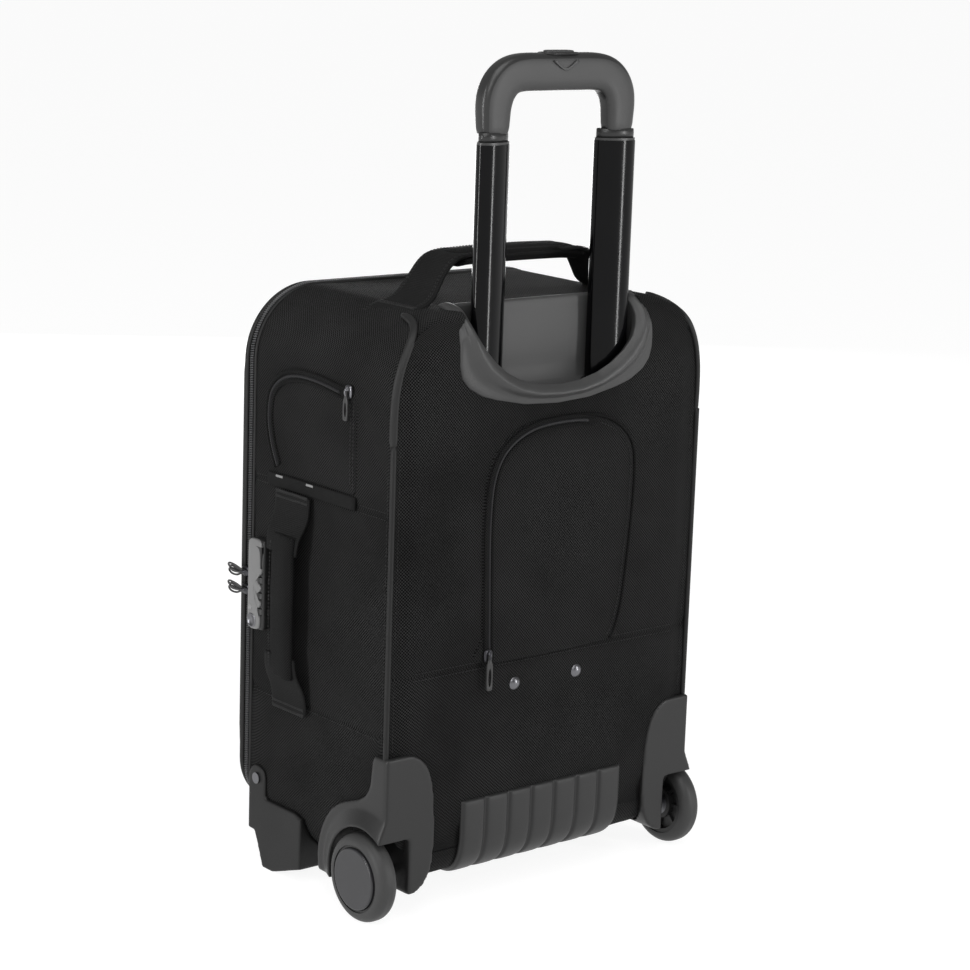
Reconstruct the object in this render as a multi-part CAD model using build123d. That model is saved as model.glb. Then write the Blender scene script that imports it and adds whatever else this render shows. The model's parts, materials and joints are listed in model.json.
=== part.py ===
"""Rolling laptop case: a two-wheeled soft cabin case with a telescoping handle.

Units are millimetres.  +Z is up and the floor is Z = 0.  +Y points to the back of the case, where
the wheels and the telescoping handle are, and +X to the side that carries the lock and the grab
handle.  The origin is on the floor under the middle of the case.
"""
from math import cos, radians, sin
import os

from build123d import *

# ---- Case body -------------------------------------------------------------------------------
HALF_WIDTH = 169.0          # half of the soft body's width
BOTTOM_Z = 26.0             # underside of the soft body
TOP_Z = 514.0               # top of the soft body
BACK_Y = 98.0               # plane of the back piping
FRONT_Y = -118.0            # outer face of the front lid
WALL = 2.5                  # fabric, foam and lining of one wall
TOP_RADIUS = 62.0           # upper corners, seen from the front
BOTTOM_RADIUS = 45.0        # lower corners, seen from the front
BACK_TOP_RADIUS = 10.0      # edge roundings, seen from the side
BACK_BOTTOM_RADIUS = 28.0
FRONT_TOP_RADIUS = 17.0
FRONT_BOTTOM_RADIUS = 50.0
PANEL_CROWN = 4.0           # how far the back panel bulges over the handle tubes
PANEL_CROWN_INSET = 16.0
PANEL_CROWN_LOW_Z = 66.0
PANEL_CROWN_LOW_RADIUS = 30.0
PANEL_CROWN_EDGE = 6.0      # width of the bulge's solid border
RIM_Y = -100.0              # front edge of the gusset, where the zip tape starts
ZIP_SPLIT_Y = -103.5        # where the two halves of the main zip meet
ZIP_GAP = 0.4
LID_RIM_Y = -107.0          # back edge of the lid
TAPE = 1.5                  # thickness of a zip tape or webbing
PIPING = 2.0                # how far a piping stands proud
PIPING_WIDTH = 4.5
SIDE_SEAMS = (162.0, 350.0)
BACK_SEAM = 213.0

# ---- Linings and boards ----------------------------------------------------------------------
LINING_GAP = 0.8
LINING = 1.0
LINING_BACK_Y = 69.5
BOARD_BACK_Y = 73.3
BOARD = 2.0
BOARD_HALF_WIDTH = 150.0
BOARD_Z = (60.0, 492.0)
BOARD_RADII = (45.0, 40.0)
SLEEVE_HALF_WIDTH = 150.0   # padded laptop sleeve
SLEEVE_Z = (62.0, 330.0)
SLEEVE_Y = (-96.0, -84.0)

# ---- Telescoping handle ----------------------------------------------------------------------
TUBE_X = 67.0
TUBE_Y = 87.3
TUBE_TURN = 15.0            # each oval tube is turned about its own length
MIDDLE_TUBE = (38.0, 20.4)
MIDDLE_WALL = 1.2
TUBE_CLEARANCE = 0.3
BASE_WALL = 0.8
INNER_TUBE = (33.4, 15.8)
INNER_WALL = 1.2
BASE_TUBE_Z = (76.0, 437.0)
SOCKET_HEIGHT = 12.0
SOCKET_PLUG = 8.0
BRACE_Z = (180.0, 202.0)
BRACE_DEPTH = 8.0
BACK_SCREW_X = 35.0
BACK_SCREW_Z = 190.7
SCREW_RADIUS = 2.0
SCREW_DOME_RADIUS = 7.5
SCREW_DOME_SINK = 4.5
MIDDLE_TUBE_Z = (310.0, 649.0)
INNER_TUBE_Z = (322.0, 657.0)
COLLAR_DEPTH = 14.0
COLLAR_LIP = 2.0
GRIP_HALF_WIDTH = 83.5
GRIP_TOP_Z = 722.0
GRIP_UNDER_Z = 691.0
GRIP_INNER_HALF = 52.5
GRIP_DEPTH = 20.0
GRIP_OUTER_RADIUS = 40.0
GRIP_INNER_RADIUS = 17.0
GRIP_ROUND = 7.0
BUTTON = (30.0, 11.0, 9.0)
BUTTON_PROUD = 2.5
BUTTON_GAP = 0.3

# ---- Handle bezel ----------------------------------------------------------------------------
CUP_HALF_WIDTH = 92.0
CUP_WALL = 2.5
CUP_FRONT_Y = 76.0
CUP_FLOOR_Z = 440.0
CUP_FLOOR = 3.0
CUP_BACK_Y = 110.0
BEZEL_FACE_Y = BACK_Y + PANEL_CROWN
BEZEL_FLANGE = 2.5
BEZEL_LIP_Y = 114.0
LIP_AXES = (106.0, 80.0)
MOUTH_AXES = (100.0, 75.0)
MOUTH_CENTRE_Z = 524.0
FLANGE_SHOULDER = (95.0, 452.0)
FLANGE_LOW_Z = 431.0
FLANGE_WAIST = (102.0, 480.0)
FLANGE_TOP_X = 127.0

# ---- Wheels ----------------------------------------------------------------------------------
WHEEL_RADIUS = 38.0
WHEEL_Y = 78.0
WHEEL_IN_X = 164.5
WHEEL_OUT_X = 184.0
TYRE_DEPTH = 9.0
TYRE_ROUND = 8.0
CAP_RADIUS = 26.5
CAP_DOME = 1.6
AXLE_RADIUS = 4.0
AXLE_FIT = 0.05
BEARING_RADIUS = 11.0
BEARING_WIDTH = 7.0
BEARING_X = (165.5, 173.0)
WELL_RADIUS = 43.0
WELL_WALL = 3.0
WELL_DEPTH_X = 147.0
WELL_FRONT_Y = 30.0         # the square opening that the lining leaves round a wheel well
WELL_TOP_Z = 90.0
HOUSING_IN_X = 120.0
HOUSING_SKIN = 3.5
HOUSING_TOP_Z = 147.0
HOUSING_BOTTOM_Z = 23.0
HOUSING_BACK_Y = 104.0
HOOD_RADIUS = 59.0          # where the hood over the wheel leaves the housing's side face
HOOD_X = 179.5              # how far out its edge stands
HOOD_EDGE = 1.5
HOUSING_SIDE_SWEEP = ((86, 147), (82, 136), (80, 119), (73, 108), (58, 100), (37, 91), (20, 75),
                      (11, 56), (8, 38), (10, 23))
HOUSING_BACK_SWEEP = ((152, 147), (137, 142), (128, 132), (122.5, 115), (120, 89), (120, 60),
                      (123, 42), (132, 28), (144, 23))
AXLE_FLANGE_RADIUS = 8.0
AXLE_FLANGE = 3.0
AXLE_HEAD_RADIUS = 6.5
AXLE_HEAD = 1.8
HUB_WALL = 2.0
HUB_WEB_X = 171.0
SPOKE_THICKNESS = 3.0

# ---- Feet and skid plate ---------------------------------------------------------------------
FOOT_X = (134.0, 172.5)
FOOT_STRAP_X = 169.0
FOOT_TOP_Z = 92.0
FOOT_STRAP_Y = (-95.0, -70.0)
FOOT_WEDGE = ((-95, 54), (-73, 0), (-56, 0), (-16, 14), (-16, 60), (-95, 90))
FOOT_WEDGE_TOP_Z = 64.0
RIVET = ((FOOT_STRAP_Y[0] + FOOT_STRAP_Y[1]) / 2, FOOT_TOP_Z - 12)
RIVET_HEAD_RADIUS = 5.0
RIVET_HEAD = 1.5
SKID_HALF_WIDTH = 90.5
SKID_TOP_Z = 94.0
SKID_FRONT_Y = 62.0
SKID_THICKNESS = 3.0
SKID_RIBS = 7
SKID_GROOVE = 1.6
SKID_SKIN = 2.0
SKID_FLAT_LOW_Z = 56.0

# ---- Lock ------------------------------------------------------------------------------------
LOCK_Y = (-93.0, -70.0)
LOCK_Z = (217.0, 298.0)
LOCK_FACE_X = 177.0
LOCK_BACK_X = 162.0
DIAL_RADIUS = 6.5
DIAL_CENTRE = (171.8, -77.2)
DIAL_THICKNESS = 5.0
DIAL_Z = (234.0, 248.0, 262.0)
DIAL_PIN = 1.5
KEY_RADIUS = 5.5
KEY_CENTRE = (-86.0, 224.5)
RELEASE_Y = (-81.0, -72.0)
RELEASE_Z = (273.0, 292.0)
RELEASE_TRAVEL = 4.0

# ---- Grab handles ----------------------------------------------------------------------------
TOP_HANDLE_Y = 33.0
TOP_SLEEVE_HALF = 63.0
TOP_SLEEVE_WIDTH = 42.0
TOP_SLEEVE_Z = (545.0, 557.0)
TOP_WEB_WIDTH = 56.0
SIDE_HANDLE_Y = -35.0
SIDE_SLEEVE_X = (177.5, 187.0)
SIDE_SLEEVE_Z = (191.0, 311.5)
SIDE_SLEEVE_WIDTH = 44.0
SIDE_WEB_WIDTH = 50.0
SIDE_WEB_Z = (154.0, 346.0)  # where the side webbing ends are sewn down
SIDE_WEB_ROOT = 8.5          # length of the sewn ends
SIDE_WEB_RISE = (10.0, 13.0)
TOP_WEB_OUTLINE = ((92, 532), (104, 513), (124, 506), (124, 512), (108, 523), (96, 536))
SOFT_GAP = 0.5

# ---- Pockets ---------------------------------------------------------------------------------
SIDE_POCKET_Y = (-80.0, 49.0)
SIDE_POCKET_Z = (359.0, 453.0)
SIDE_STRIP_Z = (347.0, 358.5)
BACK_POCKET_X = (-92.0, 77.0)
BACK_POCKET_TOP_Z = 420.0
POCKET_THICKNESS = 1.4
POCKET_ZIP_WIDTH = 8.0
FRONT_POCKET_X = (-148.0, 150.0)
FRONT_POCKET_Z = (80.0, 400.0)

# ---- Zip sliders -----------------------------------------------------------------------------
SLIDER = 9.0
SLIDER_PLATE = 2.4
SLIDER_LIFT = 0.4
SLIDER_PIN = 0.8
PIN_FIT = 0.08
PIN_HEIGHT = 4.4
TAB_WIDTH = 6.0
TAB_KNUCKLE = 3.6
BACK_SLIDER = (69.0, 221.0)
SIDE_SLIDER = (40.0, 446.0)
FRONT_SLIDER = (155.5, 326.0)
MAIN_SLIDER_Z = (248.0, 264.0)

SIDES = {"left": 1, "right": -1}


# ---- Helpers ---------------------------------------------------------------------------------
def along_x(sketch, start, end):
    """Extrude a sketch drawn in (Y, Z) from X = start to X = end."""
    return extrude(Plane.YZ.offset(start) * sketch, amount=end - start)


def along_y(sketch, start, end):
    """Extrude a sketch drawn in (X, Z) from Y = start to Y = end."""
    return extrude(Plane.XZ.offset(-end) * sketch, amount=end - start)


def along_z(sketch, start, end):
    """Extrude a sketch drawn in (X, Y) from Z = start to Z = end."""
    return extrude(Plane.XY.offset(start) * sketch, amount=end - start)


def block(x_range, y_range, z_range):
    """A box between two limits along each axis."""
    size = [high - low for low, high in (x_range, y_range, z_range)]
    centre = [(high + low) / 2 for low, high in (x_range, y_range, z_range)]
    return Pos(*centre) * Box(*size)


def mirrored(solid, side):
    """The solid itself on the left, its mirror image on the right."""
    return solid if side > 0 else mirror(solid, about=Plane.YZ)


def both(solid):
    """A solid together with its mirror image."""
    return solid + mirror(solid, about=Plane.YZ)


def rounded_box_sketch(low, high, top_radius, bottom_radius):
    """A rectangle from low to high with its own radius on the upper and the lower corners."""
    sketch = Rectangle(high[0] - low[0], high[1] - low[1])
    sketch = fillet(sketch.vertices().group_by(Axis.Y)[-1], top_radius)
    lower = [v for v in sketch.vertices() if v.Y < -(high[1] - low[1]) / 2 + 0.01]
    sketch = fillet(lower, bottom_radius)
    return Pos((low[0] + high[0]) / 2, (low[1] + high[1]) / 2) * sketch


def side_profile(inset):
    """The case seen from the side, in (Y, Z), with every edge rounding."""
    low_y, high_y = FRONT_Y + inset, BACK_Y - inset
    low_z, high_z = BOTTOM_Z + inset, TOP_Z - inset
    sketch = Pos((low_y + high_y) / 2, (low_z + high_z) / 2) * Rectangle(high_y - low_y, high_z - low_z)
    corners = {
        (low_y, low_z): FRONT_BOTTOM_RADIUS,
        (low_y, high_z): FRONT_TOP_RADIUS,
        (high_y, low_z): BACK_BOTTOM_RADIUS,
        (high_y, high_z): BACK_TOP_RADIUS,
    }
    for (y, z), radius in corners.items():
        near = [v for v in sketch.vertices() if abs(v.X - y) < 0.01 and abs(v.Y - z) < 0.01]
        sketch = fillet(near, radius - inset)
    return sketch


def case_block(inset=0.0):
    """The whole soft case as a solid, shrunk by inset on every side."""
    half = HALF_WIDTH - inset
    outline = rounded_box_sketch((-half, BOTTOM_Z + inset), (half, TOP_Z - inset),
                                 TOP_RADIUS - inset, BOTTOM_RADIUS - inset)
    return along_y(outline, FRONT_Y - 5, BACK_Y + 5) & along_x(side_profile(inset), -half - 5, half + 5)


def slab_y(y_range, z_range=(0, 600)):
    """A slab across the whole case, used to cut bands out of its shell."""
    return block((-250, 250), y_range, z_range)


def shell_band(outer_inset, inner_inset, y_range, z_range=(0, 600)):
    """A band of the case's skin between two insets."""
    return (case_block(outer_inset) - case_block(inner_inset)) & slab_y(y_range, z_range)


def wheel_wells(radius, inner_x):
    """The two round spaces that the wheels sit in."""
    return both(cylinder_x(radius, inner_x, 220, WHEEL_Y, WHEEL_RADIUS))


def axle_pockets():
    """Room in the soft shell for the flanges on the axles' inner ends."""
    inner_x = WELL_DEPTH_X - WELL_WALL - AXLE_FLANGE - 2
    return both(cylinder_x(AXLE_FLANGE_RADIUS + 1, inner_x, WELL_DEPTH_X, WHEEL_Y, WHEEL_RADIUS))


def cylinder_x(radius, start, end, y, z):
    """A cylinder along X."""
    return along_x(Pos(y, z) * Circle(radius), start, end)


def cup_envelope():
    """Everything that the handle bezel's cup takes out of the case."""
    half = CUP_HALF_WIDTH + CUP_WALL
    return block((-half, half), (CUP_FRONT_Y - CUP_WALL, BACK_Y + 20),
                 (CUP_FLOOR_Z - CUP_FLOOR, TOP_Z + 20))


def lock_envelope():
    """The hole that the lock's housing fills in the side of the case."""
    return block((LOCK_BACK_X, HALF_WIDTH + 1), (LOCK_Y[0] + 3, LOCK_Y[1] - 1),
                 (LOCK_Z[0] + 3, LOCK_Z[1] - 3))


def oval(size, side):
    """A tube's oval section at its place, turned about its own length."""
    turned = Rot(0, 0, side * TUBE_TURN) * Ellipse(size[0] / 2, size[1] / 2)
    return Pos(side * TUBE_X, TUBE_Y) * turned


def grown(size, amount):
    """An oval's two diameters, larger by amount all round."""
    return size[0] + 2 * amount, size[1] + 2 * amount


# ---- Soft shell ------------------------------------------------------------------------------
def make_gusset():
    """The fabric band round the case: top, two sides and bottom, cut at their seams."""
    band = shell_band(0, WALL, (RIM_Y, BACK_Y - WALL))
    band -= cup_envelope()
    band -= wheel_wells(WELL_RADIUS + WELL_WALL, WELL_DEPTH_X - WELL_WALL)
    band -= axle_pockets()
    band -= lock_envelope()
    low, high = SIDE_SEAMS
    top = band & block((-250, 250), (-200, 200), (high, 600))
    left = band & block((0, 250), (-200, 200), (low, high))
    right = band & block((-250, 0), (-200, 200), (low, high))
    bottom = band & block((-250, 250), (-200, 200), (0, low))
    return [top, left, right, bottom]


def crown_outline(inset):
    """The bulged part of the back in (X, Z), shrunk by inset on every side."""
    half = HALF_WIDTH - PANEL_CROWN_INSET - inset
    return rounded_box_sketch((-half, PANEL_CROWN_LOW_Z + inset), (half, TOP_Z - PANEL_CROWN_INSET - inset),
                              TOP_RADIUS - PANEL_CROWN_INSET - inset, PANEL_CROWN_LOW_RADIUS - inset)


def make_back_panel():
    """The back, in an upper and a lower part, bulged over the handle tubes."""
    panel = case_block(0) & slab_y((BACK_Y - WALL, BACK_Y + 1))
    panel += along_y(crown_outline(0), BACK_Y - 0.5, BACK_Y + PANEL_CROWN)
    panel -= along_y(crown_outline(PANEL_CROWN_EDGE), BACK_Y - WALL - 1, BACK_Y + PANEL_CROWN - WALL)
    panel -= cup_envelope()
    panel -= wheel_wells(WELL_RADIUS + WELL_WALL, WELL_DEPTH_X - WELL_WALL)
    panel -= back_screw_holes()
    panel -= both(housing_block())
    upper = panel & block((-250, 250), (0, 200), (BACK_SEAM, 600))
    lower = panel & block((-250, 250), (0, 200), (0, BACK_SEAM))
    return [upper, lower]


def make_lining():
    """The inner tub that closes off the handle tubes."""
    outer = case_block(WALL + LINING_GAP) & slab_y((RIM_Y + 2, LINING_BACK_Y))
    inner = case_block(WALL + LINING_GAP + LINING) & slab_y((-300, LINING_BACK_Y - LINING))
    tub = outer - inner
    tub -= both(block((WELL_DEPTH_X - 12, 250), (WELL_FRONT_Y, 200), (0, WELL_TOP_Z)))
    tub -= block((LOCK_BACK_X - 1, 250), (LOCK_Y[0], LOCK_Y[1] + 2), (LOCK_Z[0], LOCK_Z[1]))
    return tub


def make_frame_board():
    """The stiff sheet between the lining and the handle tubes."""
    sketch = rounded_box_sketch((-BOARD_HALF_WIDTH, BOARD_Z[0]), (BOARD_HALF_WIDTH, BOARD_Z[1]),
                                *BOARD_RADII)
    board = along_y(sketch, BOARD_BACK_Y - BOARD, BOARD_BACK_Y)
    return board - wheel_wells(WELL_RADIUS + WELL_WALL + 2, WELL_DEPTH_X - 12)


def make_laptop_sleeve():
    """A padded flat pocket behind the lid, open at the top."""
    outer = rounded_box_sketch((-SLEEVE_HALF_WIDTH, SLEEVE_Z[0]), (SLEEVE_HALF_WIDTH, SLEEVE_Z[1]), 12, 12)
    inner = rounded_box_sketch((-SLEEVE_HALF_WIDTH + 6, SLEEVE_Z[0] + 6),
                               (SLEEVE_HALF_WIDTH - 6, SLEEVE_Z[1] + 30), 8, 8)
    return along_y(outer, *SLEEVE_Y) - along_y(inner, SLEEVE_Y[0] + 2.5, SLEEVE_Y[1] - 2.5)


def make_rim_piping():
    """The piping beside the main zip on the gusset."""
    return shell_band(-PIPING, 0, (RIM_Y, RIM_Y + PIPING_WIDTH))


def piping_side(z_range):
    """Back edge piping between two heights, on both sides of the case."""
    band = shell_band(-PIPING, 0, (BACK_Y - PIPING_WIDTH, BACK_Y), z_range)
    return [band & block(limits, (0, 200), (0, 600)) for limits in ((138, 250), (-250, -138))]


def make_zip_tape(y_range):
    """One half of the main zip."""
    return shell_band(0, TAPE, y_range)


# ---- Pockets ---------------------------------------------------------------------------------
def side_pocket_outline():
    """The side pocket in (Y, Z): square at the back, round and leaning at the front."""
    (front, back), (low, high) = SIDE_POCKET_Y, SIDE_POCKET_Z
    sketch = make_face(Polyline((front + 15, low), (back, low), (back, high - 9), (front + 40, high),
                                (front, high), (front, high - 50), close=True))
    corner = [v for v in sketch.vertices() if abs(v.X - front) < 0.01 and abs(v.Y - high) < 0.01]
    return fillet(corner, 28)


def side_pocket_zip_area():
    """The band along the pocket's curved upper edge."""
    outline = side_pocket_outline()
    band = outline - offset(outline, amount=-POCKET_ZIP_WIDTH)
    keep = Pos(-25, 430) * Rectangle(140, 66)
    return (band & keep) - Pos(49, 400) * Rectangle(2 * POCKET_ZIP_WIDTH, 66)


def make_side_pocket_panel():
    """The side pocket's fabric face."""
    face = side_pocket_outline() - side_pocket_zip_area()
    return along_x(face, HALF_WIDTH, HALF_WIDTH + POCKET_THICKNESS)


def make_side_pocket_zip():
    """The side pocket's zip, tape and coil as one band."""
    return along_x(side_pocket_zip_area(), HALF_WIDTH, HALF_WIDTH + POCKET_THICKNESS + 0.4)


def back_pocket_outline():
    """The arched back pocket in (X, Z)."""
    low_x, high_x = BACK_POCKET_X
    sketch = make_face(Polyline((low_x + 21, BACK_SEAM), (high_x, BACK_SEAM), (high_x, BACK_POCKET_TOP_Z),
                                (low_x, BACK_POCKET_TOP_Z), (low_x, BACK_POCKET_TOP_Z - 60), close=True))
    left = [v for v in sketch.vertices() if v.X > high_x - 1 and v.Y > BACK_POCKET_TOP_Z - 1]
    sketch = fillet(left, 72)
    right = [v for v in sketch.vertices() if v.X < low_x + 1 and v.Y > BACK_POCKET_TOP_Z - 1]
    return fillet(right, 42)


def back_pocket_zip_area():
    """The band up the pocket's long side and round its arch."""
    outline = back_pocket_outline()
    band = outline - offset(outline, amount=-POCKET_ZIP_WIDTH)
    return band & Pos(50, 330) * Rectangle(150, 2 * (330 - BACK_SEAM - POCKET_ZIP_WIDTH - 1))


def make_back_pocket_panel():
    """The back pocket's fabric face."""
    face_y = BACK_Y + PANEL_CROWN
    return along_y(back_pocket_outline() - back_pocket_zip_area(), face_y, face_y + POCKET_THICKNESS)


def make_back_pocket_zip():
    """The back pocket's zip, tape and coil as one band."""
    face_y = BACK_Y + PANEL_CROWN
    return along_y(back_pocket_zip_area(), face_y, face_y + POCKET_THICKNESS + 0.4)


# ---- Handle bezel and base -------------------------------------------------------------------
def lip_ellipse(centre_z, axes):
    """An ellipse in (X, Z) round a centre on the case's middle line."""
    return Pos(0, centre_z) * Ellipse(*axes)


def flange_outline():
    """The bezel's flat border in (X, Z), widest at the top."""
    left = [FLANGE_SHOULDER, FLANGE_WAIST, (FLANGE_TOP_X, TOP_Z - 1)]
    right = [(-x, z) for x, z in reversed(left)]
    return make_face(Polyline(*left, *right) + ThreePointArc(right[-1], (0, FLANGE_LOW_Z), left[0]))


def make_bezel():
    """The moulded cup that the telescoping handle sinks into, with its flange and raised lip."""
    half = CUP_HALF_WIDTH + CUP_WALL
    shape = block((-half, half), (CUP_FRONT_Y - CUP_WALL, BEZEL_FACE_Y),
                  (CUP_FLOOR_Z - CUP_FLOOR, TOP_Z + 2))
    shape += along_y(flange_outline(), BEZEL_FACE_Y, BEZEL_FACE_Y + BEZEL_FLANGE)
    lip_outline = lip_ellipse(TOP_Z, LIP_AXES) & Pos(0, TOP_Z - 50) * Rectangle(240, 100)
    lip = along_y(lip_outline, BEZEL_FACE_Y, BEZEL_LIP_Y)
    lip = fillet(lip.faces().sort_by(Axis.Y)[-1].edges().filter_by(GeomType.ELLIPSE), 6)
    shape += lip
    shape -= block((-CUP_HALF_WIDTH, CUP_HALF_WIDTH), (CUP_FRONT_Y, CUP_BACK_Y), (CUP_FLOOR_Z, 600))
    shape -= along_y(lip_ellipse(MOUTH_CENTRE_Z, MOUTH_AXES), BACK_Y + 4, BACK_Y + 40)
    for side in SIDES.values():
        shape -= along_z(oval(grown(MIDDLE_TUBE, TUBE_CLEARANCE), side), CUP_FLOOR_Z - 10, CUP_FLOOR_Z + 1)
    return shape


def make_base_tubes():
    """The two fixed tubes hidden in the case."""
    inner = grown(MIDDLE_TUBE, TUBE_CLEARANCE)
    outer = grown(inner, BASE_WALL)
    return [along_z(oval(outer, side) - oval(inner, side), *BASE_TUBE_Z) for side in SIDES.values()]


def make_tube_brackets():
    """The lower socket block and the middle brace that hold the fixed tubes."""
    low = BASE_TUBE_Z[0]
    socket = block((-90, 90), (TUBE_Y - 10, BACK_Y - WALL), (low - SOCKET_HEIGHT, low))
    plug = grown(MIDDLE_TUBE, TUBE_CLEARANCE)
    for side in SIDES.values():
        socket += along_z(oval(plug, side), low, low + SOCKET_PLUG)
    brace = block((-TUBE_X, TUBE_X), (BACK_Y - BRACE_DEPTH, BACK_Y + PANEL_CROWN - WALL), BRACE_Z)
    outer = grown(plug, BASE_WALL)
    for side in SIDES.values():
        brace -= along_z(oval(outer, side), BRACE_Z[0] - 10, BRACE_Z[1] + 10)
    brace = brace.solids().sort_by(SortBy.VOLUME)[-1]
    return [socket, brace - back_screw_holes()]


def back_screw_shaft(start, end):
    """The left back screw's shaft between two planes of Y."""
    return along_y(Pos(BACK_SCREW_X, BACK_SCREW_Z) * Circle(SCREW_RADIUS), start, end)


def back_screw_holes():
    """Room for the shafts of the two dome-headed screws."""
    return both(back_screw_shaft(BACK_Y - 11, BACK_Y + 9))


def make_fasteners():
    """Two dome-headed back screws and the two foot rivets."""
    head_y = BACK_Y + PANEL_CROWN
    dome = Pos(BACK_SCREW_X, head_y - SCREW_DOME_SINK, BACK_SCREW_Z) * Sphere(SCREW_DOME_RADIUS)
    dome &= block((0, 60), (head_y, head_y + 9), (170, 210))
    screw = back_screw_shaft(BACK_Y - BRACE_DEPTH, head_y) + dome
    rivet = cylinder_x(SCREW_RADIUS, HALF_WIDTH, FOOT_X[1], *RIVET)
    rivet += cylinder_x(RIVET_HEAD_RADIUS, FOOT_X[1], FOOT_X[1] + RIVET_HEAD, *RIVET)
    return [mirrored(piece, side) for piece in (screw, rivet) for side in SIDES.values()]


# ---- Moving handle stages --------------------------------------------------------------------
def make_middle_tube(side):
    """One oval tube of the lower moving stage."""
    inner = grown(MIDDLE_TUBE, -MIDDLE_WALL)
    return along_z(oval(MIDDLE_TUBE, side) - oval(inner, side), *MIDDLE_TUBE_Z)


def make_middle_collars():
    """The guide collars in the mouths of the middle tubes."""
    top = MIDDLE_TUBE_Z[1]
    collars = []
    for side in SIDES.values():
        bore = oval(grown(INNER_TUBE, TUBE_CLEARANCE), side)
        sleeve = along_z(oval(grown(MIDDLE_TUBE, -MIDDLE_WALL), side) - bore, top - COLLAR_DEPTH, top)
        lip = along_z(oval(grown(MIDDLE_TUBE, -0.5), side) - bore, top, top + COLLAR_LIP)
        collars.append(sleeve + lip)
    return collars


def make_inner_tube(side):
    """One oval tube of the upper moving stage."""
    return along_z(oval(INNER_TUBE, side) - oval(grown(INNER_TUBE, -INNER_WALL), side), *INNER_TUBE_Z)


def make_grip():
    """The U-shaped grip with plugs into the inner tubes and a well for the button."""
    low = INNER_TUBE_Z[1]
    outer = rounded_box_sketch((-GRIP_HALF_WIDTH, low), (GRIP_HALF_WIDTH, GRIP_TOP_Z),
                               GRIP_OUTER_RADIUS, 0.01)
    inner = rounded_box_sketch((-GRIP_INNER_HALF, low - 20), (GRIP_INNER_HALF, GRIP_UNDER_Z),
                               GRIP_INNER_RADIUS, 0.01)
    back, front = TUBE_Y + GRIP_DEPTH / 2, TUBE_Y - GRIP_DEPTH / 2
    grip = along_y(outer - inner, front, back)
    rims = grip.faces().sort_by(Axis.Y)
    edges = [e for face in (rims[0], rims[-1]) for e in face.edges() if e.center().Z > low + 1]
    grip = fillet(edges, GRIP_ROUND)
    for side in SIDES.values():
        plug = grown(INNER_TUBE, -INNER_WALL)
        grip += along_z(oval(plug, side), low - 15, low + 1)
    well = [size / 2 + BUTTON_GAP for size in BUTTON[:2]]
    return grip - block((-well[0], well[0]), (TUBE_Y - well[1], TUBE_Y + well[1]),
                        (GRIP_TOP_Z - 12, GRIP_TOP_Z + 5))


def make_button():
    """The thumb button in the top of the grip."""
    half = [size / 2 for size in BUTTON[:2]]
    top = GRIP_TOP_Z + BUTTON_PROUD
    button = block((-half[0], half[0]), (TUBE_Y - half[1], TUBE_Y + half[1]), (top - BUTTON[2], top))
    return fillet(button.edges().group_by(Axis.Z)[-1], 1.5)


# ---- Wheels ----------------------------------------------------------------------------------
def wheel_profile(points):
    """Turn a (radius, X) outline about the left wheel's axle."""
    face = make_face(Polyline(*[(x, radius) for radius, x in points], close=True))
    return Pos(0, WHEEL_Y, WHEEL_RADIUS) * revolve(face, axis=Axis.X)


def make_tyre(side):
    """The soft tyre."""
    inner = WHEEL_RADIUS - TYRE_DEPTH
    ring = cylinder_x(WHEEL_RADIUS, WHEEL_IN_X, WHEEL_OUT_X, WHEEL_Y, WHEEL_RADIUS)
    ring = fillet(ring.edges(), TYRE_ROUND)
    ring -= cylinder_x(inner, WHEEL_IN_X - 1, WHEEL_OUT_X + 1, WHEEL_Y, WHEEL_RADIUS)
    return mirrored(ring, side)


def make_hub(side):
    """The wheel's plastic centre: rim, web and bearing boss."""
    rim = WHEEL_RADIUS - TYRE_DEPTH
    boss = BEARING_RADIUS + 4
    shoulder = BEARING_RADIUS - HUB_WALL
    first, second = BEARING_X
    first_end, second_end = first + BEARING_WIDTH, second + BEARING_WIDTH
    hub = wheel_profile([
        (rim, WHEEL_IN_X + 1), (rim, WHEEL_OUT_X - 1),
        (rim - HUB_WALL, WHEEL_OUT_X - 1), (rim - HUB_WALL, second_end),
        (BEARING_RADIUS, second_end), (BEARING_RADIUS, second),
        (shoulder, second), (shoulder, first_end),
        (BEARING_RADIUS, first_end), (BEARING_RADIUS, first),
        (boss, first), (boss, HUB_WEB_X),
        (rim - 2 * HUB_WALL, HUB_WEB_X), (rim - 2 * HUB_WALL, WHEEL_IN_X + 1),
    ])
    spoke = block((WHEEL_IN_X + 4, HUB_WEB_X + 1), (boss - 1, rim - 3),
                  (-SPOKE_THICKNESS / 2, SPOKE_THICKNESS / 2))
    for turn in range(0, 360, 45):
        hub += Pos(0, WHEEL_Y, WHEEL_RADIUS) * Rot(turn, 0, 0) * spoke
    return mirrored(hub, side)


def make_cap(side):
    """The domed disc on the outside of the wheel."""
    start = BEARING_X[1] + BEARING_WIDTH + 2.7
    disc = cylinder_x(CAP_RADIUS, start, WHEEL_OUT_X + CAP_DOME, WHEEL_Y, WHEEL_RADIUS)
    disc = fillet(disc.edges().sort_by(Axis.X)[-1], 1.4)
    rib = cylinder_x(CAP_RADIUS, start - 2.7, start + 0.5, WHEEL_Y, WHEEL_RADIUS)
    rib -= cylinder_x(CAP_RADIUS - 2, start - 3, start + 1, WHEEL_Y, WHEEL_RADIUS)
    return mirrored(disc + rib, side)


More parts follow.
